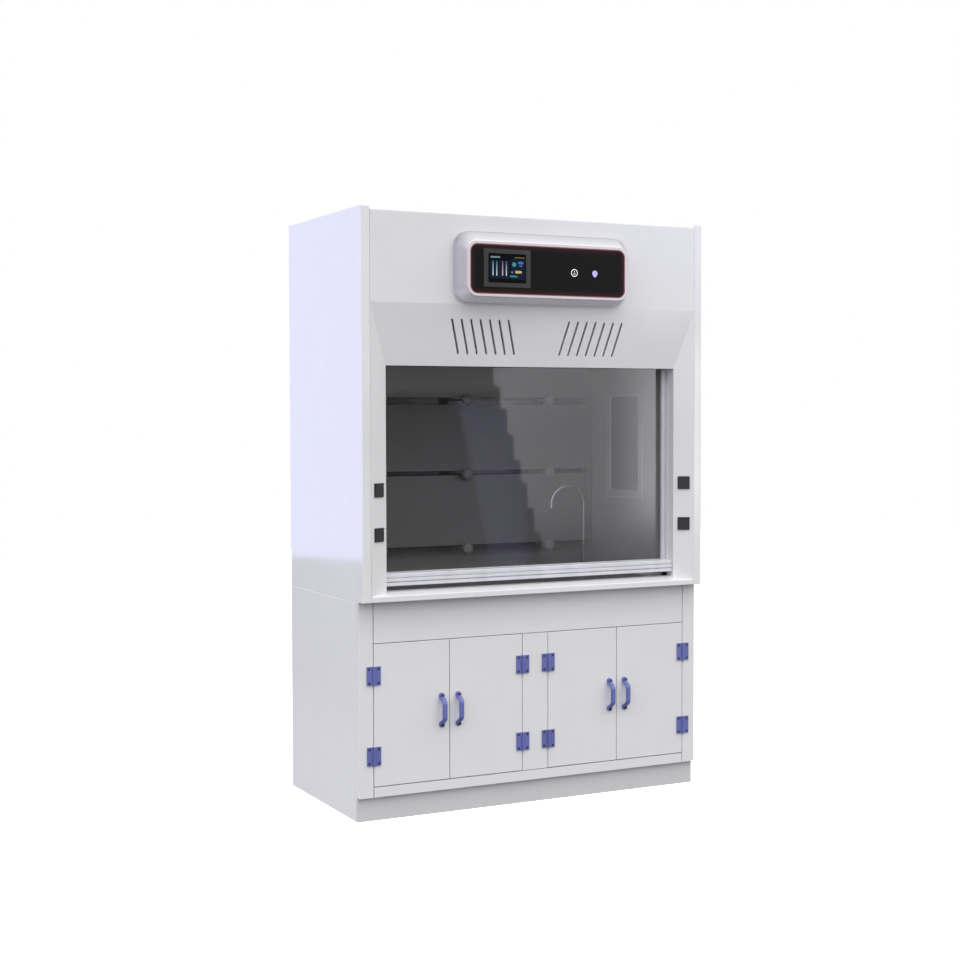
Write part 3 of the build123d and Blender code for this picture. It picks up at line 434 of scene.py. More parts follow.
def console_face(name):
    """Fine-grained black acrylic, with a painted red glow of the trim fading in from its border."""
    s = Shader(name)
    x, _, z = s.axes()
    low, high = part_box("console_face")
    half_w, half_h = (high[0] - low[0]) / 2, (high[2] - low[2]) / 2
    side = s.ranged(s.away(x, (low[0] + high[0]) / 2), 0.0, 1.0, *(half_w - fade for fade in TRIM_GLOW_FADE))
    level = s.ranged(s.away(z, (low[2] + high[2]) / 2), 0.0, 1.0, *(half_h - fade for fade in TRIM_GLOW_FADE))
    fine = s.noise(ACRYLIC_SCALE, 2.0)
    black = s.ramp(fine, [(0.3, (0.0068, 0.0068, 0.0066)), (0.7, (0.0092, 0.0092, 0.009))])
    # Painted glow: the black turns dark red towards its border, beside the red trim.
    s.colour(s.mix(s.math("MAXIMUM", side, level), black, (0.034, 0.0125, 0.014)))
    s.roughness(s.ranged(fine, 0.26, 0.36))
    s.bumped((fine, 0.000006))
    s.put(Specular_IOR_Level=0.035)
    return s.mat


def button(name, node, colour, icon):
    """A black push button with a glowing icon; icon(shader, x, z, centre) gives the icon's shape."""
    s = Shader(name)
    x, _, z = s.axes()
    low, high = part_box(node)
    shape = icon(s, x, z, ((low[0] + high[0]) / 2, (low[2] + high[2]) / 2))
    fine = s.noise(ACRYLIC_SCALE, 2.0)
    s.colour(s.mix(shape, (0.014, 0.014, 0.014), colour))
    s.roughness(s.ranged(fine, 0.25, 0.35))
    s.bumped((fine, 0.000006))
    s.link(s.mix(shape, NONE, colour), s.bsdf.inputs["Emission Color"])
    s.put(Emission_Strength=0.6, Specular_IOR_Level=0.03)
    return s.mat


def power_icon(s, x, z, centre):
    """A ring round a broken arc with an upright bar."""
    ring = s.math("SUBTRACT", s.disc(x, z, centre, 0.0150), s.disc(x, z, centre, 0.0122))
    arc = s.math("SUBTRACT", s.disc(x, z, centre, 0.0062), s.disc(x, z, centre, 0.0044))
    gap = s.patch(x, z, (centre[0], centre[1] + 0.005), (0.0070, 0.006))
    bar = s.patch(x, z, (centre[0], centre[1] + 0.0046), (0.0010, 0.0030))
    broken = s.math("MAXIMUM", s.math("SUBTRACT", arc, gap), 0.0)
    return s.math("MAXIMUM", ring, s.math("MAXIMUM", broken, bar))


def bulb_icon(s, x, z, centre):
    """A plain bulb: a globe with a notch of dark, a neck and a cap."""
    globe = s.disc(x, z, (centre[0], centre[1] + 0.0010), 0.0118)
    neck = s.patch(x, z, (centre[0], centre[1] - 0.0105), (0.0052, 0.0020))
    cap = s.patch(x, z, (centre[0], centre[1] - 0.0135), (0.0038, 0.0007))
    notch = s.patch(x, z, (centre[0] + 0.0035, centre[1] + 0.0060), (0.0010, 0.0042))
    lamp = s.math("MAXIMUM", globe, s.math("MAXIMUM", neck, cap))
    return s.math("MAXIMUM", s.math("SUBTRACT", lamp, notch), 0.0)


def lit(name, low, high, glow=0.42):
    """A patch of the display: fine pixel rows, blending from one colour at its foot to another at its top."""
    s = Shader(name)
    _, _, z = s.axes()
    screen_low, screen_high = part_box("console_screen")
    middle = (screen_low[2] + screen_high[2]) / 2
    blend = s.mix(s.ranged(z, 0.0, 1.0, *(middle + fade for fade in DISPLAY_FADE)), low, high)
    rows = s.node("ShaderNodeTexWave", wave_type="BANDS", bands_direction="Z")
    rows.inputs["Scale"].default_value = 300.0
    s.link(s.place, rows.inputs["Vector"])
    shown = s.mix(s.ranged(rows.outputs["Fac"], 0.0, 0.3), blend, shade(low, 0.5))
    s.colour(shown)
    s.link(shown, s.bsdf.inputs["Emission Color"])
    s.bumped((rows.outputs["Fac"], 0.00001))
    s.put(Emission_Strength=glow, Roughness=0.4, Specular_IOR_Level=0.05)
    return s.mat


def weld(name, colour):
    """A hand-laid plastic weld bead: close ripples along its length."""
    s = Shader(name)
    ripples = s.noise(260.0, 2.0)
    s.colour(s.ramp(ripples, [(0.3, shade(colour, 0.92)), (0.7, colour)]))
    s.roughness(s.ranged(ripples, 0.3, 0.5))
    s.bumped((ripples, 0.0006))
    return s.mat


SLOTS = {
    "pp_white": sheet("pp_white", WHITE),
    "pp_cabinet": sheet("pp_cabinet", CABINET_WHITE),
    "pp_liner": sheet("pp_liner", WHITE, rough=0.30),
    "baffle_grey": sheet("baffle_grey", (0.29, 0.29, 0.295), rough=0.4),
    "worktop_dark": sheet("worktop_dark", (0.16, 0.165, 0.17), rough=0.4),
    "sash_profile": moulded("sash_profile", (0.66, 0.66, 0.70), rough=0.3),
    "blue_plastic": moulded("blue_plastic", (0.125, 0.145, 0.42), rough=0.38, coat=0.08),
    "black_plastic": moulded("black_plastic", (0.016, 0.016, 0.018), rough=0.38),
    "console_shell": console_shell("console_shell"),
    "console_black": console_face("console_black"),
    "console_red": moulded("console_red", (0.16, 0.022, 0.026), rough=0.3),
    "screen": moulded("screen", (0.042, 0.043, 0.040), rough=0.35, gloss=0.1),
    "button_white": button("button_white", "button_power", WHITE, power_icon),
    "button_lavender": button("button_lavender", "button_light", (0.40, 0.36, 0.74), bulb_icon),
    "safety_glass": safety_glass("safety_glass"),
    "lamp_white": opal("lamp_white", (0.85, 0.85, 0.82)),
    "steel": metal("steel", (0.55, 0.55, 0.56), rough=0.28),
    "cast_iron": painted_iron("cast_iron", (0.08, 0.085, 0.09)),
    "chrome": metal("chrome", (0.82, 0.82, 0.83), rough=0.08, depth=0.000005),
    "track_profile": metal("track_profile", (0.62, 0.62, 0.64), rough=0.4),
    "knob_grey": moulded("knob_grey", (0.40, 0.40, 0.41), rough=0.42),
}

# Heights and planes that a finish changes at, most of them where painted shade starts.
worktop_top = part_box("worktop")[1][2]
frame_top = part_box("cabinet_front_frame")[1][2]
cabinet_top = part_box("cabinet_back")[1][2]
wall_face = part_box("liner_right")[0][0]
back_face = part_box("hood_back")[0][1]

# The nodes whose finish differs from their slot's, several of them with painted shade.
OWN_FINISH_AND_SHADE = {
    "hood_side_left": sheet("pp_side_left", WHITE, rough=0.06, grain=0.000001),
    "hood_side_right": sheet("pp_side_right", WHITE, rough=0.06, grain=0.000001),
    # The toe kick is a darker grey copy of the sheet: painted shade under the cabinet's overhang.
    "toe_kick": sheet("pp_kick", (0.66, 0.66, 0.66)),
    # Painted shade on the back: its face to the chamber is nearly black, fading to grey at its foot; its outer
    # face is white with screws.
    "hood_back": two_faced(
        "pp_back", WHITE, SHADE_BEHIND_BAFFLES, 1, back_face + 0.004,
        foot=tuple(worktop_top + up for up in BACK_FOOT_UP),
        screws=screw_lines("hood_back", 0.020, 0.030, 0.021),
    ),
    "cabinet_back": screwed_back(
        "pp_cabinet_back", WHITE, screw_lines("cabinet_back", 0.027, 0.030, 0.030), cabinet_top
    ),
    # The top panel is a darker copy of the white sheet: painted shade.
    "front_top_panel": sheet("pp_top", (0.745, 0.745, 0.748)),
    # The roof is a grey copy of the white sheet: painted shade against the bright light from above.
    "hood_roof": sheet("pp_roof", (0.46, 0.46, 0.465)),
    # The apron darkens towards its top: painted shadow under the sill.
    "cabinet_front_frame": sheet("pp_apron", CABINET_WHITE, painted_shade=(frame_top - 0.15, frame_top, 0.86)),
    # Access panels: light flanges, and painted shade in their recesses past the wall's face.
    "access_panels": two_faced(
        "pp_window", (0.90, 0.90, 0.91), (0.36, 0.36, 0.365), 0, wall_face + 0.0015, mirrored=True
    ),
}

for entry in frame["record"]["subparts"]:
    node = frame["nodes"][entry["node"]]
    node.data.materials.clear()
    node.data.materials.append(OWN_FINISH_AND_SHADE.get(entry["node"], SLOTS[entry["material_slot"]]))


# ---------------------------------------------------------------- small parts

# Lathed pieces on the front point this way.
FRONT_WAYS = (0, -1, 0)

# Steps in a rounded corner, sides of a round bead, and the angle in degrees past which an edge stays sharp.
CORNER_STEPS = 5
BEAD_SIDES = 10
SHARP_ANGLE = 35

# Hinges: the knuckle's radius, the leaf's thickness and half height, and where the screws stand in it.
KNUCKLE_R = 0.006
LEAF_T = 0.005
HINGE_HALF_H = 0.036
HINGE_SCREW_X = 0.0195
HINGE_SCREW_Z = 0.027

# Handles: how far each foot stands above or below the middle.
HANDLE_FOOT = 0.057

# Baffle knobs: radius, how far the middle row sits below the middle height, and their lobes.
KNOB_R = 0.026
KNOB_ROW_SHIFT = 0.0005
KNOB_LOBES = 7
KNOB_LOBE_DEPTH = 0.16

# The display's pane, and how far it, its fields and its marks stand in front of the screen's recess.
DISPLAY_SIZE = (0.163, 0.112)
DISPLAY_RECESS = 0.001
PANE_PROUD, FIELD_PROUD, MARK_PROUD = 0.0003, 0.00035, 0.00045

# The gasket round the glass: its bead's radius, how far in from the edge it runs, and how far out it stands.
GASKET_R = 0.0015
GASKET_IN = 0.010
GASKET_PROUD = 0.0012

# Access windows: the flange's thickness, its width at the sides, and how many times that it is above and below.
WINDOW_FLANGE_T = 0.005
WINDOW_FLANGE_W = 0.026
WINDOW_FLANGE_RATIO = 1.22

# Duct collar: the flange's height over the roof, its bolts and the circle that they stand on.
FLANGE_UP = 0.006
DUCT_BOLTS = 8
BOLT_CIRCLE_R = 0.1375

# The strainer's height over the foot of the sink, and its spokes.
STRAINER_UP = 0.0555
STRAINER_SPOKES = 6


def piece(name, bm, materials, body):
    """Turns a bmesh into an object that rides on a body."""
    bmesh.ops.recalc_face_normals(bm, faces=bm.faces)
    mesh = bpy.data.meshes.new(name)
    bm.to_mesh(mesh)
    bm.free()
    for mat in materials:
        mesh.materials.append(mat)
    for polygon in mesh.polygons:
        polygon.use_smooth = True
    mesh.set_sharp_from_angle(angle=math.radians(SHARP_ANGLE))
    obj = bpy.data.objects.new(name, mesh)
    bpy.context.scene.collection.objects.link(obj)
    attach(obj, body)
    return obj


def lathe(bm, start, direction, profile, segments=28, lobes=0, lobe_depth=0.0, material=0):
    """Turns a profile of (distance along, radius) round an axis, with optional lobes round its rim."""
    direction = Vector(direction).normalized()
    across = direction.orthogonal().normalized()
    other = direction.cross(across)
    rings = []
    for along, radius in profile:
        ring = []
        for step in range(segments):
            angle = 2 * math.pi * step / segments
            reach = radius * (1 - lobe_depth * (0.5 + 0.5 * math.cos(lobes * angle)) ** 3 if lobes else 1)
            offset = (across * math.cos(angle) + other * math.sin(angle)) * reach
            ring.append(bm.verts.new(Vector(start) + direction * along + offset))
        rings.append(ring)
    faces = [bm.faces.new(list(reversed(rings[0]))), bm.faces.new(rings[-1])]
    for low, high in zip(rings, rings[1:]):
        for step in range(segments):
            after = (step + 1) % segments
            faces.append(bm.faces.new((low[step], low[after], high[after], high[step])))
    for face in faces:
        face.material_index = material


def rounded_outline(centre, size, radius):
    """The corners of a rounded rectangle on the front plane, as (x, z)."""
    points = []
    for turn, (sx, sz) in enumerate(((1, 1), (-1, 1), (-1, -1), (1, -1))):
        middle = (centre[0] + sx * (size[0] / 2 - radius), centre[1] + sz * (size[1] / 2 - radius))
        for step in range(CORNER_STEPS + 1):
            angle = math.pi / 2 * (turn + step / CORNER_STEPS)
            points.append((middle[0] + radius * math.cos(angle), middle[1] + radius * math.sin(angle)))
    return points


def plate(bm, outline, front, back, inset=0.0, material=0):
    """A flat plate on the front plane with its front edge chamfered by an inset."""
    centre = Vector((sum(p[0] for p in outline), sum(p[1] for p in outline))) / len(outline)

    def ring(y, shrink):
        loop = []
        for px, pz in outline:
            inward = centre - Vector((px, pz))
            moved = Vector((px, pz)) + inward.normalized() * shrink
            loop.append(bm.verts.new((moved[0], y, moved[1])))
        return loop

    steps = [(back, 0.0), (front + inset, 0.0), (front, inset)] if inset else [(back, 0.0), (front, 0.0)]
    rings = [ring(*step) for step in steps]
    faces = [bm.faces.new(rings[0]), bm.faces.new(list(reversed(rings[-1])))]
    for low, high in zip(rings, rings[1:]):
        for step in range(len(low)):
            after = (step + 1) % len(low)
            faces.append(bm.faces.new((low[step], low[after], high[after], high[step])))
    for face in faces:
        face.material_index = material


def strip(bm, start, end, radius):
    """A round bead between two points, with rounded ends."""
    span = Vector(end) - Vector(start)
    length = span.length
    tip, round_in = radius * 0.4, radius * 0.5
    profile = [(0.0, tip), (round_in, radius), (length - round_in, radius), (length, tip)]
    lathe(bm, start, span, profile, BEAD_SIDES)


def hinge_caps():
    """Dark caps over the four screws of every hinge: two on the door's leaf, two on the frame's."""
    profile = [(-0.0008, 0.0050), (0.0003, 0.0050), (0.0011, 0.0040), (0.0013, 0.0016), (0.0008, 0.0010)]
    frame_caps = bmesh.new()
    for number in range(1, 5):
        door = f"door_{number}"
        low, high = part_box(f"{door}_hinge_leaves")
        to_door = 1 if number in (1, 3) else -1
        axis = low[0] + KNUCKLE_R if to_door > 0 else high[0] - KNUCKLE_R
        leaf_front = high[1] - LEAF_T
        door_caps = bmesh.new()
        for middle in (low[2] + HINGE_HALF_H, high[2] - HINGE_HALF_H):
            for end in (-1, 1):
                z = middle + end * HINGE_SCREW_Z
                lathe(door_caps, (axis + to_door * HINGE_SCREW_X, leaf_front, z), FRONT_WAYS, profile, 20)
                lathe(frame_caps, (axis - to_door * HINGE_SCREW_X, leaf_front, z), FRONT_WAYS, profile, 20)
        piece(f"hinge_caps_{door}", door_caps, [SLOTS["black_plastic"]], door)
    piece("hinge_caps_frame", frame_caps, [SLOTS["black_plastic"]], "housing")


def handle_feet():
    """A round boss with a dark screw cap at each end of every handle."""
    boss = [
        (0.0, 0.0112), (0.0015, 0.0112), (0.0025, 0.0105),
        (0.0100, 0.0100), (0.0122, 0.0085), (0.0128, 0.0066),
    ]
    cap = [(0.0110, 0.0086), (0.0124, 0.0086), (0.0136, 0.0070), (0.0140, 0.0025)]
    dark_blue = moulded("blue_cap", (0.035, 0.036, 0.085), rough=0.35)
    for number in range(1, 5):
        door = f"door_{number}"
        low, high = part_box(f"{door}_handle")
        x, z = (low[0] + high[0]) / 2, (low[2] + high[2]) / 2
        bm = bmesh.new()
        for end in (-1, 1):
            foot = (x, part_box(door)[0][1], z + end * HANDLE_FOOT)
            lathe(bm, foot, FRONT_WAYS, boss, 28)
            lathe(bm, foot, FRONT_WAYS, cap, 20, material=1)
        mats = [SLOTS["blue_plastic"], dark_blue]
        piece(f"handle_feet_{number}", bm, mats, door)


def lobed_knobs():
    """Seven-lobed clamping knobs with their hubs and studs."""
    low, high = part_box("baffle_knobs")
    face, hub_end = low[1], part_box("baffle_panels")[0][1]
    reach_x = high[0] - KNOB_R
    rows = (low[2] + KNOB_R, (low[2] + high[2]) / 2 - KNOB_ROW_SHIFT, high[2] - KNOB_R)
    head = [
        (0.0, 0.0060), (0.0004, 0.0150), (0.0020, 0.0215), (0.0055, 0.0250),
        (0.0180, 0.0258), (0.0235, 0.0240), (0.0260, 0.0190),
    ]
    hub = [(0.0255, 0.0135), (0.0400, 0.0120), (0.0425, 0.0148), (hub_end - face, 0.0148)]
    bm = bmesh.new()
    for x in (-reach_x, 0.0, reach_x):
        for z in rows:
            lathe(bm, (x, face, z), (0, 1, 0), head, 84, lobes=KNOB_LOBES, lobe_depth=KNOB_LOBE_DEPTH)
            lathe(bm, (x, face, z), (0, 1, 0), hub, 28)
            lathe(bm, (x, hub_end, z), (0, 1, 0), [(0.0, 0.004), (high[1] - hub_end, 0.004)], 12)
    knobs = piece("baffle_knobs_lobed", bm, [SLOTS["knob_grey"]], "housing")
    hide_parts("baffle_knobs")


# The display's materials, in their order on the mesh.
PANE, NAVY, CYAN, TEAL, RED, GREY, PALE, YELLOW, BLUE, GREEN = range(10)


def display():
    """The console's display: a black pane with plain bars, an icon and pills, and no lettering."""
    low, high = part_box("console_screen")
    centre = ((low[0] + high[0]) / 2, (low[2] + high[2]) / 2)
    pane = low[1] + DISPLAY_RECESS
    width, height = DISPLAY_SIZE
    bm = bmesh.new()

    def at(across, down):
        """A spot on the pane, by its shares of the width and height."""
        return centre[0] + (across - 0.5) * width, centre[1] + (0.5 - down) * height

    def shape(spot, w, h, radius, proud, tone):
        """A rounded plate; its spot and size are shares of the pane."""
        outline = rounded_outline(at(*spot), (w * width, h * height), radius)
        plate(bm, outline, pane - proud, pane, 0.0, tone)

    plate(bm, rounded_outline(centre, DISPLAY_SIZE, 0.002), pane - PANE_PROUD, pane, 0.0001, PANE)
    shape((0.30, 0.55), 0.52, 0.62, 0.004, FIELD_PROUD, NAVY)
    shape((0.78, 0.52), 0.38, 0.70, 0.004, FIELD_PROUD, NAVY)
    for across, tone in ((0.12, CYAN), (0.22, TEAL), (0.375, RED), (0.475, GREY)):
        shape((across, 0.51), 0.026, 0.50, 0.0018, MARK_PROUD, tone)
    for across, down, w, h, tone in (
        (0.18, 0.125, 0.26, 0.055, PALE),
        (0.83, 0.120, 0.27, 0.028, YELLOW),
        (0.86, 0.300, 0.15, 0.090, BLUE),
        (0.86, 0.405, 0.09, 0.045, BLUE),
        (0.80, 0.615, 0.18, 0.090, YELLOW),
        (0.63, 0.630, 0.05, 0.060, PALE),
        (0.67, 0.770, 0.20, 0.055, GREEN),
    ):
        shape((across, down), w, h, min(w * width, h * height) / 2 * 0.98, MARK_PROUD, tone)
    dot_x, dot_z = at(0.685, 0.36)
    lathe(bm, (dot_x, pane, dot_z), FRONT_WAYS, [(0.0, 0.0088), (MARK_PROUD, 0.0088)], 28, material=GREEN)
    mats = [
        moulded("display_pane", (0.002, 0.002, 0.003), rough=0.25, gloss=0.03),
        lit("display_navy", (0.002, 0.007, 0.022), (0.001, 0.005, 0.017), 0.5),
        lit("display_cyan", (0.46, 0.58, 0.64), (0.05, 0.17, 0.28)),
        lit("display_teal", (0.52, 0.58, 0.60), (0.02, 0.12, 0.13)),
        lit("display_red", (0.60, 0.46, 0.46), (0.34, 0.02, 0.05)),
        lit("display_grey", (0.58, 0.58, 0.58), (0.03, 0.09, 0.09)),
        lit("display_white", (0.13, 0.22, 0.26), (0.13, 0.22, 0.26)),
        lit("display_yellow", (0.60, 0.44, 0.13), (0.14, 0.10, 0.03)),
        lit("display_blue", (0.05, 0.11, 0.34), (0.06, 0.12, 0.36)),
        lit("display_green", (0.04, 0.20, 0.23), (0.05, 0.24, 0.22)),
    ]
    piece("display", bm, mats, "housing")


def glazing_gasket():
    """A grey rubber bead round both faces of the sash glass."""
    low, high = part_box("sash_glass")
    left, right = low[0] + GASKET_IN, high[0] - GASKET_IN
    bottom, top = low[2] + GASKET_IN, high[2] - GASKET_IN
    bm = bmesh.new()
    for y in (low[1] - GASKET_PROUD, high[1] + GASKET_PROUD):
        for x in (left, right):
            strip(bm, (x, y, bottom), (x, y, top), GASKET_R)
        for z in (bottom, top):
            strip(bm, (left, y, z), (right, y, z), GASKET_R)
    piece("glazing_gasket", bm, [SLOTS["knob_grey"]], "sash")


def welds():
    """Weld beads where the roof meets the sides, and in the corners of the work chamber."""
    roof_low, roof_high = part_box("hood_roof")
    left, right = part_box("liner_left")[1][0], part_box("liner_right")[0][0]
    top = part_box("worktop")[1][2]
    front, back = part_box("liner_left")[0][1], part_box("hood_back")[0][1]
    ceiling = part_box("chamber_ceiling")[0][2]
    bm = bmesh.new()
    for x in (roof_low[0], roof_high[0]):
        strip(bm, (x, roof_low[1] + 0.005, roof_high[2]), (x, roof_high[1] - 0.005, roof_high[2]), 0.0035)
    for x in (left, right):
        for z in (top, ceiling):
            strip(bm, (x, front, z), (x, back, z), 0.003)
    piece("weld_beads", bm, [weld("weld_bead", (0.74, 0.74, 0.74))], "housing")


def window_beads():
    """Raised beads round each access window: one round its flange, one at the mouth of its recess."""
    low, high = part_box("access_panels")
    bm = bmesh.new()
    for wall in ("liner_left", "liner_right"):
        side = 1 if wall == "liner_right" else -1
        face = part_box(wall)[0][0] - WINDOW_FLANGE_T if side > 0 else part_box(wall)[1][0] + WINDOW_FLANGE_T
        for inset, radius in ((0.0, 0.0022), (WINDOW_FLANGE_W, 0.0026)):
            front, back = low[1] + inset, high[1] - inset
            foot, head = low[2] + inset * WINDOW_FLANGE_RATIO, high[2] - inset * WINDOW_FLANGE_RATIO
            for start, end in (
                ((front, foot), (front, head)),
                ((back, foot), (back, head)),
                ((front, foot), (back, foot)),
                ((front, head), (back, head)),
            ):
                strip(bm, (face, *start), (face, *end), radius)
    piece("window_beads", bm, [sheet("window_bead", (0.95, 0.95, 0.96), rough=0.3)], "housing")


def duct_bolts():
    """Hexagon bolts with washers round the duct collar's flange."""
    low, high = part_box("duct_collar")
    centre = ((low[0] + high[0]) / 2, (low[1] + high[1]) / 2)
    flange_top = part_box("hood_roof")[1][2] + FLANGE_UP
    bm = bmesh.new()
    for step in range(DUCT_BOLTS):
        angle = 2 * math.pi * (step + 0.5) / DUCT_BOLTS
        across, along = BOLT_CIRCLE_R * math.cos(angle), BOLT_CIRCLE_R * math.sin(angle)
        spot = (centre[0] + across, centre[1] + along, flange_top)
        lathe(bm, spot, (0, 0, 1), [(0.0, 0.0080), (0.0014, 0.0080)], 24)
        lathe(bm, spot, (0, 0, 1), [(0.0014, 0.0060), (0.0050, 0.0060), (0.0058, 0.0050)], 6)
    piece("duct_bolts", bm, [SLOTS["steel"]], "housing")


def sink_strainer():
    """A steel strainer of rings and spokes over the sink's drain."""
    low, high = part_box("cup_sink")
    centre = Vector(((low[0] + high[0]) / 2, (low[1] + high[1]) / 2, low[2] + STRAINER_UP))
    bm = bmesh.new()
    for inner, outer in ((0.0150, 0.0210), (0.0070, 0.0095)):
        ring = [(0.0, inner), (0.0, outer), (0.0014, outer - 0.0006), (0.0014, inner + 0.0006), (0.0, inner)]
        turned = bmesh.new()
        lathe(turned, centre, (0, 0, 1), ring, 36)
        caps = [face for face in turned.faces if len(face.verts) > 4]
        bmesh.ops.delete(turned, geom=caps, context="FACES_ONLY")
        bmesh.ops.remove_doubles(turned, verts=turned.verts, dist=0.00001)
        mesh = bpy.data.meshes.new("ring")
        turned.to_mesh(mesh)
        turned.free()
        bm.from_mesh(mesh)
        bpy.data.meshes.remove(mesh)
    for step in range(STRAINER_SPOKES):
        angle = 2 * math.pi * step / STRAINER_SPOKES
        way = Vector((math.cos(angle), math.sin(angle), 0))
        rise = Vector((0, 0, 0.0007))
        strip(bm, centre + way * 0.002 + rise, centre + way * 0.0175 + rise, 0.0009)
    piece("sink_strainer", bm, [SLOTS["steel"]], "housing")


hinge_caps()
handle_feet()
lobed_knobs()
display()
glazing_gasket()
welds()
window_beads()
duct_bolts()
sink_strainer()


# ---------------------------------------------------------------- studio

# The light's colour by the height it comes from, straight down (0) to straight up (1).
SKY = [
    (0.0, (0.10, 0.10, 0.10)),
    (0.47, (0.12, 0.12, 0.12)),
    (0.60, (0.68, 0.68, 0.69)),
    (0.80, (1.03, 1.03, 1.03)),
    (1.0, (1.25, 1.25, 1.25)),
]
SKY_STRENGTH = 1.74

# How much brighter and bluer the light from the far left is, and how brightly the floor glows.
LEFT_TINT = (1.19, 1.19, 1.32)
FLOOR_GLOW = 0.85

# The reflected cards: where each one stands, as its corners, and how strong its glow is.
FRONT_CARD = [(-4.0, -6.2, 0.0), (9.0, -6.2, 0.0), (9.0, -6.2, 6.0), (-4.0, -6.2, 6.0)]
TAP_CARD = [(0.2, -6.0, 0.6), (1.3, -6.0, 0.6), (1.3, -6.0, 2.2), (0.2, -6.0, 2.2)]
SIDE_CARD = [(-4.5, 2.5, -1.5), (-4.5, 13.0, -1.5), (-4.5, 13.0, 5.0), (-4.5, 2.5, 5.0)]
FRONT_GLOW = 4.6
TAP_GLOW = 5.0
SIDE_GLOW = 2.05

# Their tones. HAZE and BRIGHT are levels by height, as shares of GLOW_TOP.
DARK_GLOW = (0.02, 0.02, 0.02)
DIM_GLOW = (0.16, 0.16, 0.165)
BAND_GLOW = (0.22, 0.215, 0.35)
LAVENDER_GLOW = (0.84, 0.84, 1.12)
SIDE_TONE = (0.52, 0.55, 1.0)
GLOW_TOP = 2.0
HAZE = [
    (0.20, (0.09, 0.09, 0.09)),
    (0.46, (0.08, 0.08, 0.08)),
    (0.66, (0.02, 0.02, 0.02)),
    (0.835, (0.02, 0.02, 0.02)),
    (0.89, (0.33, 0.33, 0.33)),
]
BRIGHT = [
    (0.17, (0.24, 0.24, 0.25)),
    (0.38, (0.74, 0.74, 0.76)),
    (0.50, (0.84, 0.84, 0.86)),
    (0.72, (0.91, 0.90, 0.94)),
    (0.95, (1.16, 1.15, 1.19)),
]
BRIGHT_EDGE = (2.15, 2.14, 2.20)

# The front card's leaning edges: how far each moves per metre of height, and where it meets the floor.
BAND_LEAN, BAND_FOOT = -0.23, 2.955
BRIGHT_LEAN, BRIGHT_FOOT = -0.31, 3.45
BRIGHT_STEP = 0.2
BAND_END = (3.18, 3.21)

# The side card's lower edge slopes with depth, and fades in between two heights.
SIDE_SLOPE = 0.0535
SIDE_FOOT = (0.58, 0.62)

# Half the floor's width, half the lid's over the duct collar, and the lid's height over it.
FLOOR_HALF = 12.0
DUCT_RUN_HALF = 0.135
DUCT_RUN_UP = 0.004


def flat(name, corners, mat, unseen=()):
    """A single face that belongs to the studio; it can be left out of some kinds of ray."""
    mesh = bpy.data.meshes.new(name)
    mesh.from_pydata(corners, [], [(0, 1, 2, 3)])
    mesh.materials.append(mat)
    obj = bpy.data.objects.new(name, mesh)
    bpy.context.scene.collection.objects.link(obj)
    for rays in unseen:
        setattr(obj, f"visible_{rays}", False)


def square(half, z, middle=0.0):
    """The corners of a level square, centred across the object."""
    front, back = middle - half, middle + half
    return [(-half, front, z), (half, front, z), (half, back, z), (-half, back, z)]


def card(name, corners, strength, build):
    """A flat studio card, seen only in reflections; build(shader) gives its light's colour."""
    glow = Shader(name)
    glow.put(Base_Color=(*NONE, 1.0), Specular_IOR_Level=0.0, Roughness=1.0, Emission_Strength=strength)
    glow.link(build(glow), glow.bsdf.inputs["Emission Color"])
    flat(name, corners, glow.mat, ("camera", "diffuse", "transmission", "shadow"))


def front_glow(s):
    """What the front reflects: haze, a lavender band, and a bright field past a stepped, leaning edge."""
    x, _, z = s.axes()
    height = s.ranged(z, 0.0, 1.0, 0.0, GLOW_TOP)
    dim = s.math("MULTIPLY", s.ranged(x, 0.0, 1.0, *BAND_END), s.ranged(z, 1.0, 0.0, 1.2, 1.3))
    colour = s.mix(dim, s.ramp(height, HAZE), DIM_GLOW)

    past_band = s.math("SUBTRACT", x, s.math("MULTIPLY_ADD", z, BAND_LEAN, BAND_FOOT))
    band = s.math("MULTIPLY", s.ranged(past_band, 0.0, 1.0, -0.03, 0.03), s.ranged(z, 1.0, 0.0, 1.64, 1.70))
    band = s.math("MULTIPLY", band, s.ranged(x, 1.0, 0.0, *BAND_END))
    colour = s.mix(band, colour, BAND_GLOW)

    upper = s.math("MULTIPLY", s.ranged(x, 0.0, 1.0, 3.0, 4.5), s.ranged(z, 0.0, 1.0, 2.2, 3.1))
    colour = s.mix(upper, colour, LAVENDER_GLOW)

    stepped = s.math("SNAP", z, BRIGHT_STEP)
    past_edge = s.math("SUBTRACT", x, s.math("MULTIPLY_ADD", stepped, BRIGHT_LEAN, BRIGHT_FOOT))
    bright = s.math("MULTIPLY", s.ranged(z, 1.0, 0.0, 1.98, 2.3), s.ranged(past_edge, 0.0, 1.0, -0.01, 0.01))
    bright = s.math("MULTIPLY", bright, s.ranged(z, 0.0, 1.0, 0.26, 0.36))
    bright = s.math("MULTIPLY", bright, s.ranged(x, 1.0, 0.2, 4.60, 4.70))
    at_edge = s.math("MULTIPLY", s.ranged(x, 0.0, 1.0, 4.05, 4.5), s.ranged(z, 0.0, 1.0, 0.5, 0.9))
    return s.mix(bright, colour, s.mix(at_edge, s.ramp(height, BRIGHT), BRIGHT_EDGE))


def tap_glow(s):
    """A small soft panel that puts a highlight down the round tap."""
    x, _, _ = s.axes()
    middle = (TAP_CARD[0][0] + TAP_CARD[1][0]) / 2
    return s.ramp(s.away(x, middle), [(0.3, (1.0, 1.0, 1.0)), (0.6, DARK_GLOW)])


def side_glow(s):
    """A lavender panel with a slightly sloping lower edge."""
    _, y, z = s.axes()
    rise = s.ranged(s.math("MULTIPLY_ADD", y, SIDE_SLOPE, z), 0.0, 1.0, *SIDE_FOOT)
    return s.ramp(rise, [(0.0, DARK_GLOW), (1.0, SIDE_TONE)])


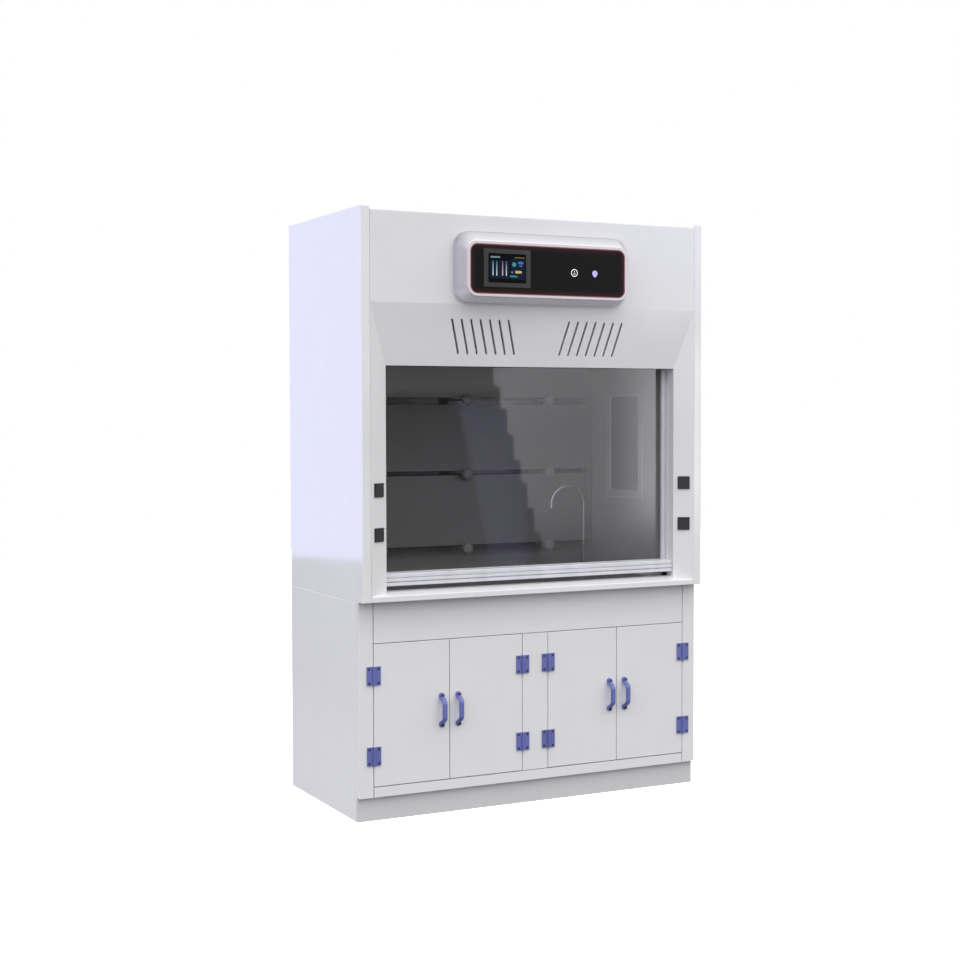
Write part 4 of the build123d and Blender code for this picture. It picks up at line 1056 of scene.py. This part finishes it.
def surroundings():
    """White for the camera; for the object, a light graded by height and tinted on the left."""
    world = bpy.data.worlds.new("studio")
    bpy.context.scene.world = world
    world.use_nodes = True
    w = Nodes(world.node_tree)
    x, _, z = w.split(w.node("ShaderNodeTexCoord").outputs["Generated"])
    sky = w.ramp(w.ranged(z, 0.0, 1.0, -1.0, 1.0), SKY)
    tinted = w.mix(w.ranged(x, 1.0, 0.0, -1.0, 0.0), sky, LEFT_TINT, "MULTIPLY")
    graded = w.tree.nodes["Background"]
    graded.inputs["Strength"].default_value = SKY_STRENGTH
    w.link(tinted, graded.inputs["Color"])
    plain = w.node("ShaderNodeBackground")
    plain.inputs["Color"].default_value = (1.0, 1.0, 1.0, 1.0)
    chooser = w.node("ShaderNodeMixShader")
    w.link(w.node("ShaderNodeLightPath").outputs["Is Camera Ray"], chooser.inputs["Fac"])
    w.link(graded.outputs["Background"], chooser.inputs[1])
    w.link(plain.outputs["Background"], chooser.inputs[2])
    w.link(chooser.outputs["Shader"], w.tree.nodes["World Output"].inputs["Surface"])


def pale_floor():
    """A plain pale floor, which neither lights the object nor shows in its gloss."""
    pale = Shader("floor")
    pale.colour(pale.ramp(pale.noise(1.5, 3.0), [(0.3, (0.90, 0.90, 0.90)), (0.7, (0.92, 0.92, 0.92))]))
    pale.put(Roughness=0.9, Emission_Color=(1, 1, 1, 1), Emission_Strength=FLOOR_GLOW)
    flat("floor", square(FLOOR_HALF, 0.0), pale.mat, ("diffuse", "glossy"))


def duct_run():
    """A dark lid over the collar, unseen by the camera, where the building's duct would start."""
    low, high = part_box("duct_collar")
    corners = square(DUCT_RUN_HALF, high[2] + DUCT_RUN_UP, (low[1] + high[1]) / 2)
    flat("duct_run", corners, SLOTS["black_plastic"], ("camera",))


bpy.context.scene.view_settings.view_transform = "Standard"
bpy.context.scene.view_settings.look = "None"
surroundings()
pale_floor()
duct_run()
card("front_card", FRONT_CARD, FRONT_GLOW, front_glow)
card("tap_card", TAP_CARD, TAP_GLOW, tap_glow)
card("side_card", SIDE_CARD, SIDE_GLOW, side_glow)
